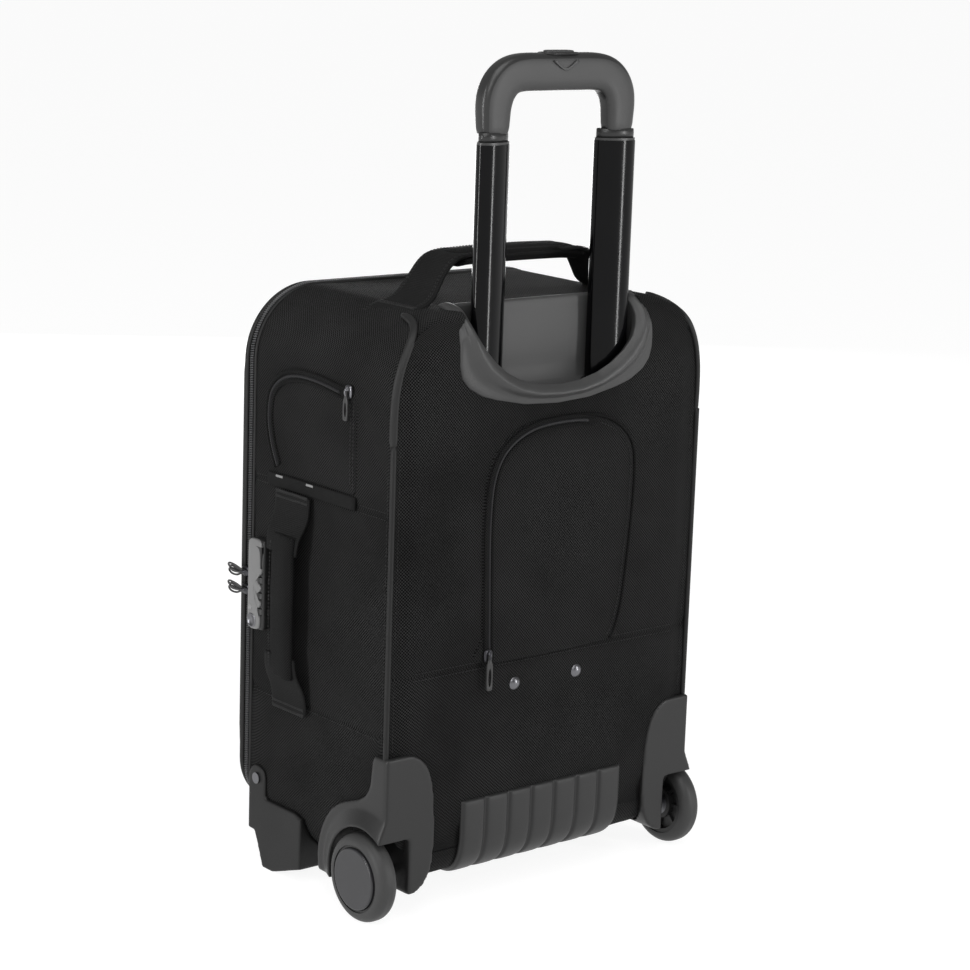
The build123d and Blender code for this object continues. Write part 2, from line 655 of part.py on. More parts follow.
def make_bearings(side):
    """The two ball bearings pressed into a hub."""
    pieces = []
    for start in BEARING_X:
        ring = cylinder_x(BEARING_RADIUS, start, start + BEARING_WIDTH, WHEEL_Y, WHEEL_RADIUS)
        ring -= cylinder_x(AXLE_RADIUS + AXLE_FIT, start - 1, start + 9, WHEEL_Y, WHEEL_RADIUS)
        pieces.append(mirrored(ring, side))
    return pieces


def make_axles():
    """The two stub axles, each with a flange inside and a head outside."""
    flange_end = WELL_DEPTH_X - WELL_WALL
    head = BEARING_X[1] + BEARING_WIDTH + 0.3
    axle = cylinder_x(AXLE_RADIUS, flange_end - AXLE_FLANGE, head + AXLE_HEAD, WHEEL_Y, WHEEL_RADIUS)
    axle += cylinder_x(AXLE_FLANGE_RADIUS, flange_end - AXLE_FLANGE, flange_end, WHEEL_Y, WHEEL_RADIUS)
    axle += cylinder_x(AXLE_HEAD_RADIUS, head, head + AXLE_HEAD, WHEEL_Y, WHEEL_RADIUS)
    return [mirrored(axle, side) for side in SIDES.values()]


def housing_side_outline():
    """The housing in (Y, Z): a narrow upright that sweeps forward into a fender."""
    closing = Polyline(HOUSING_SIDE_SWEEP[-1], (HOUSING_BACK_Y, HOUSING_BOTTOM_Z),
                       (HOUSING_BACK_Y, HOUSING_TOP_Z), HOUSING_SIDE_SWEEP[0])
    return make_face(Spline(*HOUSING_SIDE_SWEEP) + closing)


def housing_back_outline():
    """The housing in (X, Z): a limb with a long rounded shoulder on its inner side."""
    outer_x = HALF_WIDTH + HOUSING_SKIN
    closing = Polyline(HOUSING_BACK_SWEEP[-1], (outer_x, HOUSING_BOTTOM_Z),
                       (outer_x, HOUSING_TOP_Z), HOUSING_BACK_SWEEP[0])
    return make_face(Spline(*HOUSING_BACK_SWEEP) + closing)


def housing_block():
    """The left wheel housing's outer shape, before the case and the wheel are taken out of it."""
    return (along_x(housing_side_outline(), HOUSING_IN_X - 5, HALF_WIDTH + HOUSING_SKIN)
            & along_y(housing_back_outline(), 0, HOUSING_BACK_Y + 1))


def wheel_hood():
    """The sloped ring that stands out over the wheel."""
    edge_x = HALF_WIDTH + HOUSING_SKIN
    points = [(HOOD_RADIUS, edge_x), (HOOD_RADIUS - 1, edge_x + 0.4), (WELL_RADIUS + HOOD_EDGE, HOOD_X),
              (WELL_RADIUS - 2, HOOD_X), (WELL_RADIUS - 2, edge_x - 3), (HOOD_RADIUS, edge_x - 3)]
    return wheel_profile(points) & block((140, 200), (6, HOUSING_BACK_Y),
                                         (HOUSING_BOTTOM_Z + 2, HOUSING_TOP_Z))


def make_housing(side):
    """The moulded corner that carries a wheel and guards it."""
    outer_x = HALF_WIDTH + HOUSING_SKIN
    housing = housing_block() + wheel_hood() - case_block(0)
    liner = cylinder_x(WELL_RADIUS + WELL_WALL, WELL_DEPTH_X - WELL_WALL, outer_x, WHEEL_Y, WHEEL_RADIUS)
    liner &= block((100, outer_x), (0, HOUSING_BACK_Y), (HOUSING_BOTTOM_Z, HOUSING_TOP_Z))
    housing += liner
    housing -= cylinder_x(WELL_RADIUS, WELL_DEPTH_X, HOOD_X + 5, WHEEL_Y, WHEEL_RADIUS)
    housing -= cylinder_x(AXLE_RADIUS, 130, 160, WHEEL_Y, WHEEL_RADIUS)
    housing = housing.solids().sort_by(SortBy.VOLUME)[-1]
    return mirrored(housing, side)


# ---- Feet and skid plate ---------------------------------------------------------------------
def make_foot(side):
    """A moulded front foot with its strap up the side of the case."""
    wedge = make_face(Polyline(*FOOT_WEDGE, close=True))
    foot = along_x(wedge, *FOOT_X) & block(FOOT_X, (FOOT_STRAP_Y[0], 0), (0, FOOT_WEDGE_TOP_Z))
    strap = rounded_box_sketch((FOOT_STRAP_Y[0], 30), (FOOT_STRAP_Y[1], FOOT_TOP_Z), 12, 0.01)
    foot += along_x(strap, FOOT_STRAP_X - 3, FOOT_X[1])
    foot -= case_block(0)
    foot -= cylinder_x(SCREW_RADIUS, 150, 200, *RIVET)
    foot = foot.solids().sort_by(SortBy.VOLUME)[-1]
    return mirrored(foot, side)


def make_skid_plate():
    """The ribbed guard round the lower back edge."""
    half = SKID_HALF_WIDTH
    face_y = BEZEL_FACE_Y + SKID_SKIN
    plate = case_block(-SKID_THICKNESS) - case_block(0)
    plate &= block((-half, half), (SKID_FRONT_Y, 150), (0, PANEL_CROWN_LOW_Z))
    plate += block((-half, half), (BEZEL_FACE_Y, face_y), (SKID_FLAT_LOW_Z, SKID_TOP_Z))
    plate += block((-half, half), (BACK_Y, face_y), (SKID_FLAT_LOW_Z, PANEL_CROWN_LOW_Z))
    pitch = 2 * half / SKID_RIBS
    for index in range(1, SKID_RIBS):
        x = index * pitch - half
        plate -= block((x - SKID_GROOVE / 2, x + SKID_GROOVE / 2), (face_y - 1, 200), (0, 200))
    return plate


# ---- Lock ------------------------------------------------------------------------------------
def make_lock_body():
    """The lock's case with its dial slots, dial pin, key hole and release recess."""
    body = block((HALF_WIDTH, LOCK_FACE_X), LOCK_Y, LOCK_Z)
    body = fillet(body.edges().filter_by(Axis.X), 5)
    body = fillet(body.faces().sort_by(Axis.X)[-1].edges(), 2)
    body += lock_envelope()
    for z in DIAL_Z:
        body -= Pos(*DIAL_CENTRE, z) * Cylinder(DIAL_RADIUS + 0.4, DIAL_THICKNESS + 0.6)
    body += Pos(*DIAL_CENTRE, (DIAL_Z[0] + DIAL_Z[-1]) / 2) * Cylinder(DIAL_PIN, 40)
    body -= cylinder_x(KEY_RADIUS + 0.05, LOCK_FACE_X - 6, LOCK_FACE_X + 5, *KEY_CENTRE)
    body -= block((LOCK_FACE_X - 2, LOCK_FACE_X + 5), (RELEASE_Y[0] - 0.3, RELEASE_Y[1] + 0.3),
                  (RELEASE_Z[0] - RELEASE_TRAVEL - 0.3, RELEASE_Z[1] + 0.3))
    return body.solids().sort_by(SortBy.VOLUME)[-1]


def make_dial(z):
    """One numbered thumb dial."""
    dial = Pos(*DIAL_CENTRE, z) * Cylinder(DIAL_RADIUS, DIAL_THICKNESS)
    dial -= Pos(*DIAL_CENTRE, z) * Cylinder(DIAL_PIN + PIN_FIT, DIAL_THICKNESS + 1)
    for turn in range(0, 360, 36):
        angle = radians(turn + 18)
        notch = Pos(DIAL_CENTRE[0] + (DIAL_RADIUS + 0.2) * cos(angle),
                    DIAL_CENTRE[1] + (DIAL_RADIUS + 0.2) * sin(angle), z)
        dial -= notch * Cylinder(0.6, DIAL_THICKNESS + 1)
    return dial


def make_key_cylinder():
    """The round key core at the foot of the lock."""
    core = cylinder_x(KEY_RADIUS, LOCK_FACE_X - 5.7, LOCK_FACE_X + 1.2, *KEY_CENTRE)
    y, z = KEY_CENTRE
    return core - block((LOCK_FACE_X - 3, LOCK_FACE_X + 3), (y - 0.8, y + 0.8), (z - 3, z + 3))


def make_release():
    """The sliding release beside the dials."""
    return block((LOCK_FACE_X - 1.8, LOCK_FACE_X + 1.4), RELEASE_Y, RELEASE_Z)


# ---- Grab handles ----------------------------------------------------------------------------
def make_top_webbing():
    """The two webbing ends that carry the top grab handle."""
    half = TOP_WEB_WIDTH / 2
    start = TOP_SLEEVE_HALF + SOFT_GAP
    low = TOP_SLEEVE_Z[0]
    end = make_face(Polyline((start, low + 8), (start, low + 3), *TOP_WEB_OUTLINE, close=True))
    solid = along_y(end, TOP_HANDLE_Y - half, TOP_HANDLE_Y + half) - case_block(0)
    solid = solid.solids().sort_by(SortBy.VOLUME)[-1]
    return [mirrored(solid, side) for side in SIDES.values()]


def make_top_sleeve():
    """The padded sleeve of the top grab handle."""
    low, high = TOP_SLEEVE_Z
    half = TOP_SLEEVE_WIDTH / 2
    sleeve = block((-TOP_SLEEVE_HALF, TOP_SLEEVE_HALF), (TOP_HANDLE_Y - half, TOP_HANDLE_Y + half),
                   (low, high))
    return fillet(sleeve.edges().filter_by(Axis.X), 5)


def make_side_webbing():
    """The two webbing ends of the side handle and the strip that backs the upper one."""
    half = SIDE_WEB_WIDTH / 2
    limits = (SIDE_HANDLE_Y - half, SIDE_HANDLE_Y + half)
    low, high = SIDE_SLEEVE_Z
    pieces = [block((HALF_WIDTH, HALF_WIDTH + TAPE), (SIDE_POCKET_Y[0] + 5, SIDE_POCKET_Y[1]),
                    SIDE_STRIP_Z)]
    near_x, far_x = (HALF_WIDTH + rise for rise in SIDE_WEB_RISE)
    for end_z, root, sleeve_z in ((SIDE_WEB_Z[0], SIDE_WEB_ROOT, low - SOFT_GAP),
                                  (SIDE_WEB_Z[1], -SIDE_WEB_ROOT, high + SOFT_GAP)):
        outline = Polyline((HALF_WIDTH, end_z), (HALF_WIDTH + 2, end_z), (far_x, sleeve_z),
                           (near_x, sleeve_z), (HALF_WIDTH, end_z + root), close=True)
        pieces.append(along_y(make_face(outline), *limits))
    return pieces


def make_side_sleeve():
    """The padded sleeve of the side grab handle."""
    half = SIDE_SLEEVE_WIDTH / 2
    sleeve = block(SIDE_SLEEVE_X, (SIDE_HANDLE_Y - half, SIDE_HANDLE_Y + half), SIDE_SLEEVE_Z)
    return fillet(sleeve.edges().filter_by(Axis.Z), 4)


# ---- Lid -------------------------------------------------------------------------------------
def make_lid_panel():
    """The front lid: a shallow fabric tray that opens like a book."""
    return shell_band(0, WALL, (FRONT_Y - 1, LID_RIM_Y))


def make_lid_piping():
    """The piping round the lid beside its zip."""
    return shell_band(-PIPING, 0, (LID_RIM_Y - PIPING_WIDTH, LID_RIM_Y))


def make_front_pocket():
    """The flat pocket on the front of the lid."""
    (low_x, high_x), (low_z, high_z) = FRONT_POCKET_X, FRONT_POCKET_Z
    sketch = rounded_box_sketch((low_x, low_z), (high_x, high_z), 25, 25)
    return along_y(sketch, FRONT_Y - 2.5, FRONT_Y)


# ---- Zip sliders and pull tabs ---------------------------------------------------------------
def slider_shape():
    """A slider lying on Z = 0, with the pin for its tab along X."""
    half = SLIDER / 2
    low = SLIDER_LIFT
    shape = block((-half, half), (-half, half), (low, low + SLIDER_PLATE))
    shape += both(block((half - 1.8, half - 0.2), (-1.8, 1.8), (low, PIN_HEIGHT + 1.4)))
    return shape + Pos(0, 0, PIN_HEIGHT) * Rot(0, 90, 0) * Cylinder(SLIDER_PIN, SLIDER - 1)


def tab_shape(length):
    """A pull tab that hangs towards -Y from a slider's pin."""
    knuckle = Pos(0, 0, PIN_HEIGHT) * Rot(0, 90, 0) * Cylinder(1.5, TAB_KNUCKLE)
    neck = block((-TAB_KNUCKLE / 2, TAB_KNUCKLE / 2), (-7, 0), (PIN_HEIGHT - 0.6, PIN_HEIGHT + 0.6))
    plate = block((-TAB_WIDTH / 2, TAB_WIDTH / 2), (-length, -5.5), (PIN_HEIGHT - 0.6, PIN_HEIGHT + 0.6))
    hole = block((-1.2, 1.2), (-length + 3, -length + 11), (0, 10))
    bore = Pos(0, 0, PIN_HEIGHT) * Rot(0, 90, 0) * Cylinder(SLIDER_PIN + PIN_FIT, 10)
    return knuckle + neck + plate - hole - bore


def docked_tab_shape():
    """A main pull tab: a tongue towards the lock and a loop that stands out at the front."""
    knuckle = Pos(0, 0, PIN_HEIGHT) * Rot(0, 90, 0) * Cylinder(1.5, TAB_KNUCKLE)
    tongue = block((-TAB_KNUCKLE / 2, TAB_KNUCKLE / 2), (-10, 0), (PIN_HEIGHT - 0.6, PIN_HEIGHT + 0.6))
    loop = block((-TAB_WIDTH / 2, TAB_WIDTH / 2), (5, 17), (-0.6, 0.6))
    loop -= block((-1.6, 1.6), (7, 15), (-2, 2))
    loop += block((-TAB_KNUCKLE / 2, TAB_KNUCKLE / 2), (0, 6), (-0.6, 0.6))
    bore = Pos(0, 0, PIN_HEIGHT) * Rot(0, 90, 0) * Cylinder(SLIDER_PIN + PIN_FIT, 10)
    return knuckle + tongue + Pos(0, 0, PIN_HEIGHT) * Rot(40, 0, 0) * loop - bore


def back_frame():
    """The back pocket slider's place: outward is +Y and down is -Z."""
    x, z = BACK_SLIDER
    outward = BEZEL_FACE_Y + POCKET_THICKNESS + 0.4
    return Plane(origin=(x, outward, z), x_dir=(-1, 0, 0), z_dir=(0, 1, 0))


def side_frame():
    """The side pocket slider's place: outward is +X and down is -Z."""
    y, z = SIDE_SLIDER
    return Plane(origin=(HALF_WIDTH + POCKET_THICKNESS + 0.4, y, z), x_dir=(0, 1, 0), z_dir=(1, 0, 0))


def front_frame():
    """The front pocket slider's place on the lid: outward is -Y and down is -Z."""
    x, z = FRONT_SLIDER
    return Plane(origin=(x, FRONT_Y - 0.3, z), x_dir=(1, 0, 0), z_dir=(0, -1, 0))


def main_frame(z):
    """A main slider's place on the zip: outward is +X and its tab points to the lock, +Y."""
    return Plane(origin=(HALF_WIDTH + PIPING, ZIP_SPLIT_Y, z), x_dir=(0, 0, 1), z_dir=(1, 0, 0))


# ---- Assembly --------------------------------------------------------------------------------
def build_nodes():
    """Every node's name with its solid or group of solids."""
    nodes = {
        "gusset": make_gusset(),
        "back_panel": make_back_panel(),
        "lining": make_lining(),
        "frame_board": make_frame_board(),
        "laptop_sleeve": make_laptop_sleeve(),
        "body_piping": [make_rim_piping()] + piping_side((HOUSING_TOP_Z, 408)),
        "corner_guards": piping_side((408, 506)),
        "zip_tape_body": make_zip_tape((ZIP_SPLIT_Y + ZIP_GAP / 2, RIM_Y)),
        "side_pocket_panel": make_side_pocket_panel(),
        "side_pocket_zip": make_side_pocket_zip(),
        "back_pocket_panel": make_back_pocket_panel(),
        "back_pocket_zip": make_back_pocket_zip(),
        "handle_bezel": make_bezel(),
        "base_tubes": make_base_tubes(),
        "tube_brackets": make_tube_brackets(),
        "fasteners": make_fasteners(),
        "skid_plate": make_skid_plate(),
        "front_feet": [make_foot(side) for side in SIDES.values()],
        "axles": make_axles(),
        "lock_body": make_lock_body(),
        "lock_key_cylinder": make_key_cylinder(),
        "lock_release": make_release(),
        "top_handle_webbing": make_top_webbing(),
        "top_handle_sleeve": make_top_sleeve(),
        "side_handle_webbing": make_side_webbing(),
        "side_handle_sleeve": make_side_sleeve(),
        "middle_collars": make_middle_collars(),
        "grip": make_grip(),
        "grip_button": make_button(),
        "lid_panel": make_lid_panel(),
        "lid_zip_tape": make_zip_tape((LID_RIM_Y, ZIP_SPLIT_Y - ZIP_GAP / 2)),
        "lid_piping": make_lid_piping(),
        "front_pocket_panel": make_front_pocket(),
        "back_pocket_slider": back_frame() * slider_shape(),
        "back_pocket_tab": back_frame() * tab_shape(32),
        "side_pocket_slider": side_frame() * slider_shape(),
        "side_pocket_tab": side_frame() * tab_shape(24),
        "front_pocket_slider": front_frame() * slider_shape(),
        "front_pocket_tab": front_frame() * tab_shape(26),
    }
    for name, side in SIDES.items():
        nodes["middle_tube_" + name] = make_middle_tube(side)
        nodes["inner_tube_" + name] = make_inner_tube(side)
        nodes["wheel_housing_" + name] = make_housing(side)
        nodes["wheel_tyre_" + name] = make_tyre(side)
        nodes["wheel_hub_" + name] = make_hub(side)
        nodes["wheel_cap_" + name] = make_cap(side)
        nodes["wheel_bearings_" + name] = make_bearings(side)
    for index, z in enumerate(DIAL_Z, start=1):
        nodes["lock_dial_" + str(index)] = make_dial(z)
    for name, z in zip(("lower", "upper"), MAIN_SLIDER_Z):
        nodes["main_slider_" + name] = main_frame(z) * slider_shape()
        nodes["main_tab_" + name] = main_frame(z) * docked_tab_shape()
    return nodes


def main():
    """Write one STEP file for each node."""
    os.makedirs("parts", exist_ok=True)
    for name, shape in build_nodes().items():
        pieces = shape if isinstance(shape, list) else [shape]
        solids = [solid for piece in pieces for solid in piece.solids()]
        export_step(Compound(children=solids) if len(solids) > 1 else solids[0], "parts/" + name + ".step")


main()
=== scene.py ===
"""The looks of the rolling laptop case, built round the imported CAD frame."""

import json
from math import atan2, cos, exp, hypot, pi, radians, sin, sqrt

import bpy
from mathutils import Matrix, Vector, noise

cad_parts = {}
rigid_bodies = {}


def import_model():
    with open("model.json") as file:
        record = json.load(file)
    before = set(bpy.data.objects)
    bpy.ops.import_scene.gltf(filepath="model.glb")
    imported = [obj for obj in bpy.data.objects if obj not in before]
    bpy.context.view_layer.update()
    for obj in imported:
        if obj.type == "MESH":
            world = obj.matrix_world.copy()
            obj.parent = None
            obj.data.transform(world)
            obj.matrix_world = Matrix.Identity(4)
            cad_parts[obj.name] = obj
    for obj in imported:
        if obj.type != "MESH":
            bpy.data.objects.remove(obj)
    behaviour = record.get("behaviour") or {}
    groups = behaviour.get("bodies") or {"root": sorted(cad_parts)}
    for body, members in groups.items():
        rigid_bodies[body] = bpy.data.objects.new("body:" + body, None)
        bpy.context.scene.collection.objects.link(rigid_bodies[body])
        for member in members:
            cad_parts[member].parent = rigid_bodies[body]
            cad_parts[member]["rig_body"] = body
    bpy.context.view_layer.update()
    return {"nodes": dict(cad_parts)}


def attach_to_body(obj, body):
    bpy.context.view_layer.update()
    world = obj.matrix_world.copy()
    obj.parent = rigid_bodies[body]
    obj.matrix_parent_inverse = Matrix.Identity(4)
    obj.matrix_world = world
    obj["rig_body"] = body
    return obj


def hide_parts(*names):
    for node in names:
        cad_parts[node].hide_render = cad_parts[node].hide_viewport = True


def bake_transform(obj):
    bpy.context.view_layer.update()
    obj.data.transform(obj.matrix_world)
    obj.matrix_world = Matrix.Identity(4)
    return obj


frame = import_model()
nodes = frame["nodes"]
SIDES = {"left": 1, "right": -1}


# ---- Camera, floor and light -----------------------------------------------------------------
def make_camera():
    """The camera looks at the case's back and left side, from a little above."""
    turn, lift, roll = radians(39.996), radians(12.249), radians(1.939)
    back = Vector((sin(turn) * cos(lift), cos(turn) * cos(lift), sin(lift)))
    right = (-back).cross(Vector((0, 0, 1))).normalized()
    up = right.cross(-back)
    across = right * cos(roll) + up * sin(roll)
    above = up * cos(roll) - right * sin(roll)
    place = Vector((1.4408, 1.7292, 0.8298))
    data = bpy.data.cameras.new("camera")
    data.lens = 97.116
    data.sensor_width = 36
    camera = bpy.data.objects.new("camera", data)
    turned = Matrix((across, above, back)).transposed().to_4x4()
    camera.matrix_world = Matrix.Translation(place) @ turned
    bpy.context.scene.collection.objects.link(camera)
    bpy.context.scene.camera = camera


def area_light(name, place, aim_z, size, power):
    """A rectangular light that faces a point on the case's middle line."""
    data = bpy.data.lights.new(name, "AREA")
    data.shape = "RECTANGLE"
    data.size, data.size_y = size
    data.energy = power
    light = bpy.data.objects.new(name, data)
    light.location = place
    towards = Vector((0, 0, aim_z)) - Vector(place)
    light.rotation_euler = towards.to_track_quat("-Z", "Y").to_euler()
    bpy.context.scene.collection.objects.link(light)


def make_studio():
    """A pale floor, a room that is white at the horizon and dimmer above, and large soft lights."""
    world = bpy.data.worlds.new("studio")
    world.use_nodes = True
    tree = world.node_tree
    axes = separated(tree, node(tree, "ShaderNodeTexCoord").outputs["Generated"])
    tone = ramp(tree, axes["Z"], [(0.0, grey(1.0)), (0.06, grey(0.95)), (0.22, grey(0.30)), (1.0, grey(0.26))])
    tree.links.new(tone, tree.nodes["Background"].inputs["Color"])
    bpy.context.scene.world = world
    bpy.context.scene.view_settings.view_transform = "Standard"
    bpy.ops.mesh.primitive_plane_add(size=60, location=(0, 0, -0.0002))
    floor = bpy.context.object
    floor.name = "floor"
    material, tree = new_material("floor_pale", grey(0.2), 0.9, Specular_IOR_Level=0.0,
                                  Emission_Color=(1, 1, 1, 1), Emission_Strength=0.9)
    floor.data.materials.append(material)
    area_light("top", (0.6, 0.9, 2.7), 0.3, (1.8, 1.8), 34)
    area_light("left_strip", (2.3, 0.0, 0.8), 0.5, (0.16, 1.9), 34)
    area_light("right_strip", (-1.2, 2.2, 0.8), 0.5, (0.16, 1.9), 30)
    area_light("left_soft", (1.6, 1.9, 1.9), 0.3, (0.9, 0.9), 14)
    area_light("front_soft", (-1.6, -2.4, 0.45), 0.3, (1.4, 0.8), 22)


# ---- Materials -------------------------------------------------------------------------------
def new_material(name, colour, roughness, metallic=0.0, **inputs):
    """A principled material; constants go straight on the shader's sockets."""
    material = bpy.data.materials.new(name)
    material.use_nodes = True
    shader = material.node_tree.nodes["Principled BSDF"]
    shader.inputs["Base Color"].default_value = (*colour, 1)
    shader.inputs["Roughness"].default_value = roughness
    shader.inputs["Metallic"].default_value = metallic
    for key, value in inputs.items():
        shader.inputs[key.replace("_", " ")].default_value = value
    return material, material.node_tree


def grey(value):
    """A neutral colour."""
    return value, value, value


def node(tree, kind, **settings):
    """A shader node with its settings."""
    made = tree.nodes.new(kind)
    for key, value in settings.items():
        setattr(made, key, value)
    return made


def separated(tree, coordinates):
    """The X, Y and Z sockets of a vector socket."""
    made = node(tree, "ShaderNodeSeparateXYZ")
    tree.links.new(coordinates, made.inputs[0])
    return made.outputs


def math(tree, operation, first, second=None):
    """A Math node on sockets or numbers; its output socket."""
    made = node(tree, "ShaderNodeMath", operation=operation)
    for socket, value in zip(made.inputs, (first, second)):
        if value is None:
            continue
        if isinstance(value, (int, float)):
            socket.default_value = value
        else:
            tree.links.new(value, socket)
    return made.outputs[0]


def scaled(tree, value, factor, offset=None):
    """A socket times a factor, plus an offset."""
    product = math(tree, "MULTIPLY", value, factor)
    return product if offset is None else math(tree, "ADD", product, offset)


def ridges(tree, value, frequency):
    """Rounded ridges: the size of a sine wave."""
    return math(tree, "ABSOLUTE", math(tree, "SINE", scaled(tree, value, frequency)))


def ramp(tree, factor, stops):
    """A colour ramp over (position, colour) stops."""
    made = node(tree, "ShaderNodeValToRGB")
    elements = made.color_ramp.elements
    while len(elements) < len(stops):
        elements.new(0.5)
    for element, (position, colour) in zip(elements, stops):
        element.position = position
        element.color = (*colour, 1)
    tree.links.new(factor, made.inputs["Fac"])
    return made.outputs["Color"]


def object_space(tree):
    """Coordinates in the object's own frame."""
    return node(tree, "ShaderNodeTexCoord").outputs["Object"]


def noise_at(tree, coordinates, scale, detail=3.0):
    """The grey value of a noise pattern."""
    made = node(tree, "ShaderNodeTexNoise")
    made.inputs["Scale"].default_value = scale
    made.inputs["Detail"].default_value = detail
    tree.links.new(coordinates, made.inputs["Vector"])
    return made.outputs["Fac"]


def dress(tree, colour, height, strength, distance, rough=None):
    """Join a colour, a bump height and a roughness to the material's shader."""
    shader = tree.nodes["Principled BSDF"]
    bump = node(tree, "ShaderNodeBump")
    bump.inputs["Strength"].default_value = strength
    bump.inputs["Distance"].default_value = distance
    tree.links.new(height, bump.inputs["Height"])
    tree.links.new(bump.outputs["Normal"], shader.inputs["Normal"])
    tree.links.new(colour, shader.inputs["Base Color"])
    if rough:
        tree.links.new(rough, shader.inputs["Roughness"])


def woven(name, dark, light, pitch, roughness=0.75, bump=0.55):
    """A basket weave of round threads, its thread crowns painted lighter as painted sheen and the gaps between
    threads darker as painted shade; pitch is one thread's width in metres.
    """
    material, tree = new_material(name, grey(dark), roughness, Sheen_Weight=0.01,
                                  Sheen_Roughness=0.5, Specular_IOR_Level=0.05)
    axes = separated(tree, node(tree, "ShaderNodeUVMap", uv_map="cloth").outputs["UV"])
    across = scaled(tree, axes["X"], 1 / pitch)
    along = scaled(tree, axes["Y"], 1 / pitch)
    cells = math(tree, "ADD", math(tree, "FLOOR", scaled(tree, across, 0.5)),
                 math(tree, "FLOOR", scaled(tree, along, 0.5)))
    odd = math(tree, "ABSOLUTE", math(tree, "MODULO", cells, 2.0))
    even = math(tree, "SUBTRACT", 1.0, odd)
    over = math(tree, "MULTIPLY", math(tree, "POWER", ridges(tree, across, pi), 0.6), odd)
    under = math(tree, "MULTIPLY", math(tree, "POWER", ridges(tree, along, pi), 0.6), even)
    height = math(tree, "ADD", over, under)
    broad = noise_at(tree, object_space(tree), 14.0, 4.0)
    # Painted sheen and shade: the thread height paints the crowns up to light and the gaps below dark, scaled
    # by a patchy tone from the broad noise.
    sheen_and_wear = math(tree, "MULTIPLY", height, scaled(tree, broad, 0.7, 0.65))
    twill_sheen = math(tree, "MULTIPLY", math(tree, "SUBTRACT", 1.0, scaled(tree, odd, 0.68)), sheen_and_wear)
    colour = ramp(tree, twill_sheen, [(0.0, grey(dark * 0.45)), (0.5, grey(dark)), (1.0, grey(light))])
    fine = math(tree, "ADD", height, scaled(tree, noise_at(tree, object_space(tree), 900.0), 0.35))
    dress(tree, colour, fine, bump, pitch * 0.5, scaled(tree, broad, 0.18, roughness - 0.1))
    return material


def ribbed(name, dark, light, pitch, direction="Y"):
    """Webbing or tape: ribs across its length with fine threads between them, the raised threads painted
    lighter as painted sheen and the grooves darker as painted shade.
    """
    material, tree = new_material(name, grey(dark), 0.7, Sheen_Weight=0.01,
                                  Sheen_Roughness=0.45, Specular_IOR_Level=0.06)
    axes = separated(tree, node(tree, "ShaderNodeUVMap", uv_map="cloth").outputs["UV"])
    other = "X" if direction == "Y" else "Y"
    rib = ridges(tree, axes[direction], pi / pitch)
    thread = ridges(tree, axes[other], pi / (pitch * 0.8))
    height = math(tree, "ADD", scaled(tree, rib, 0.6), scaled(tree, thread, 0.4))
    broad = noise_at(tree, object_space(tree), 30.0)
    # Painted sheen and shade: the rib height, scaled by a patchy noise tone, paints the crowns up to light and
    # the grooves dark.
    rib_sheen_and_tone = math(tree, "MULTIPLY", height, scaled(tree, broad, 0.8, 0.6))
    colour = ramp(tree, rib_sheen_and_tone, [(0.0, grey(dark * 0.6)), (1.0, grey(light))])
    dress(tree, colour, height, 0.6, pitch * 0.5)
    return material


def moulded(name, colour, roughness, grain=1400.0, bump=0.18, specular=0.5):
    """Moulded plastic or rubber with a fine eroded grain and slightly worn, uneven gloss."""
    material, tree = new_material(name, grey(colour), roughness, Specular_IOR_Level=specular)
    broad = noise_at(tree, object_space(tree), 22.0, 5.0)
    fine = noise_at(tree, object_space(tree), grain, 2.0)
    speck = math(tree, "ADD", scaled(tree, broad, 0.6), scaled(tree, fine, 0.4))
    tone = ramp(tree, speck, [(0.0, grey(colour * 0.75)), (1.0, grey(colour * 1.25))])
    dress(tree, tone, fine, bump, 0.0004, scaled(tree, broad, 0.2, roughness - 0.1))
    return material


def polished(name, colour, roughness, metallic=0.0, specular=0.5):
    """A smooth gloss or metal surface with faint handling marks."""
    material, tree = new_material(name, colour, roughness, metallic, Specular_IOR_Level=specular)
    smudge = noise_at(tree, object_space(tree), 35.0, 6.0)
    tone = ramp(tree, smudge, [(0.3, [c * 0.85 for c in colour]), (0.75, [c * 1.15 for c in colour])])
    marks = noise_at(tree, object_space(tree), 260.0)
    dress(tree, tone, marks, 0.04, 0.0003, scaled(tree, smudge, 0.12, roughness - 0.06))
    return material


FABRIC = woven("ballistic_black", 0.001, 0.040, 0.0007, bump=1.0)
FABRIC_SOFT = woven("handle_cloth_black", 0.001, 0.024, 0.0006)
LINER = woven("lining_grey", 0.16, 0.26, 0.0006, roughness=0.85)
WEBBING = ribbed("webbing_black", 0.002, 0.013, 0.0016)
TAPE = ribbed("zip_tape_black", 0.003, 0.010, 0.0008, direction="X")
PIPING = moulded("piping_black", 0.005, 0.55, grain=700.0, bump=0.3, specular=0.3)
THREAD = moulded("thread_black", 0.006, 0.5, grain=3000.0, bump=0.5, specular=0.3)
THREAD_LIGHT = moulded("thread_grey", 0.22, 0.55, grain=3000.0, bump=0.4)
COIL = polished("zip_coil_black", (0.006, 0.006, 0.007), 0.4, specular=0.2)
CHAIN = polished("main_chain_grey", (0.05, 0.05, 0.052), 0.3)
GUARD = moulded("rubber_guard", 0.009, 0.55, grain=1500.0, bump=0.25, specular=0.3)
BEZEL = moulded("bezel_plastic", 0.036, 0.42, grain=1600.0, bump=0.22, specular=0.35)
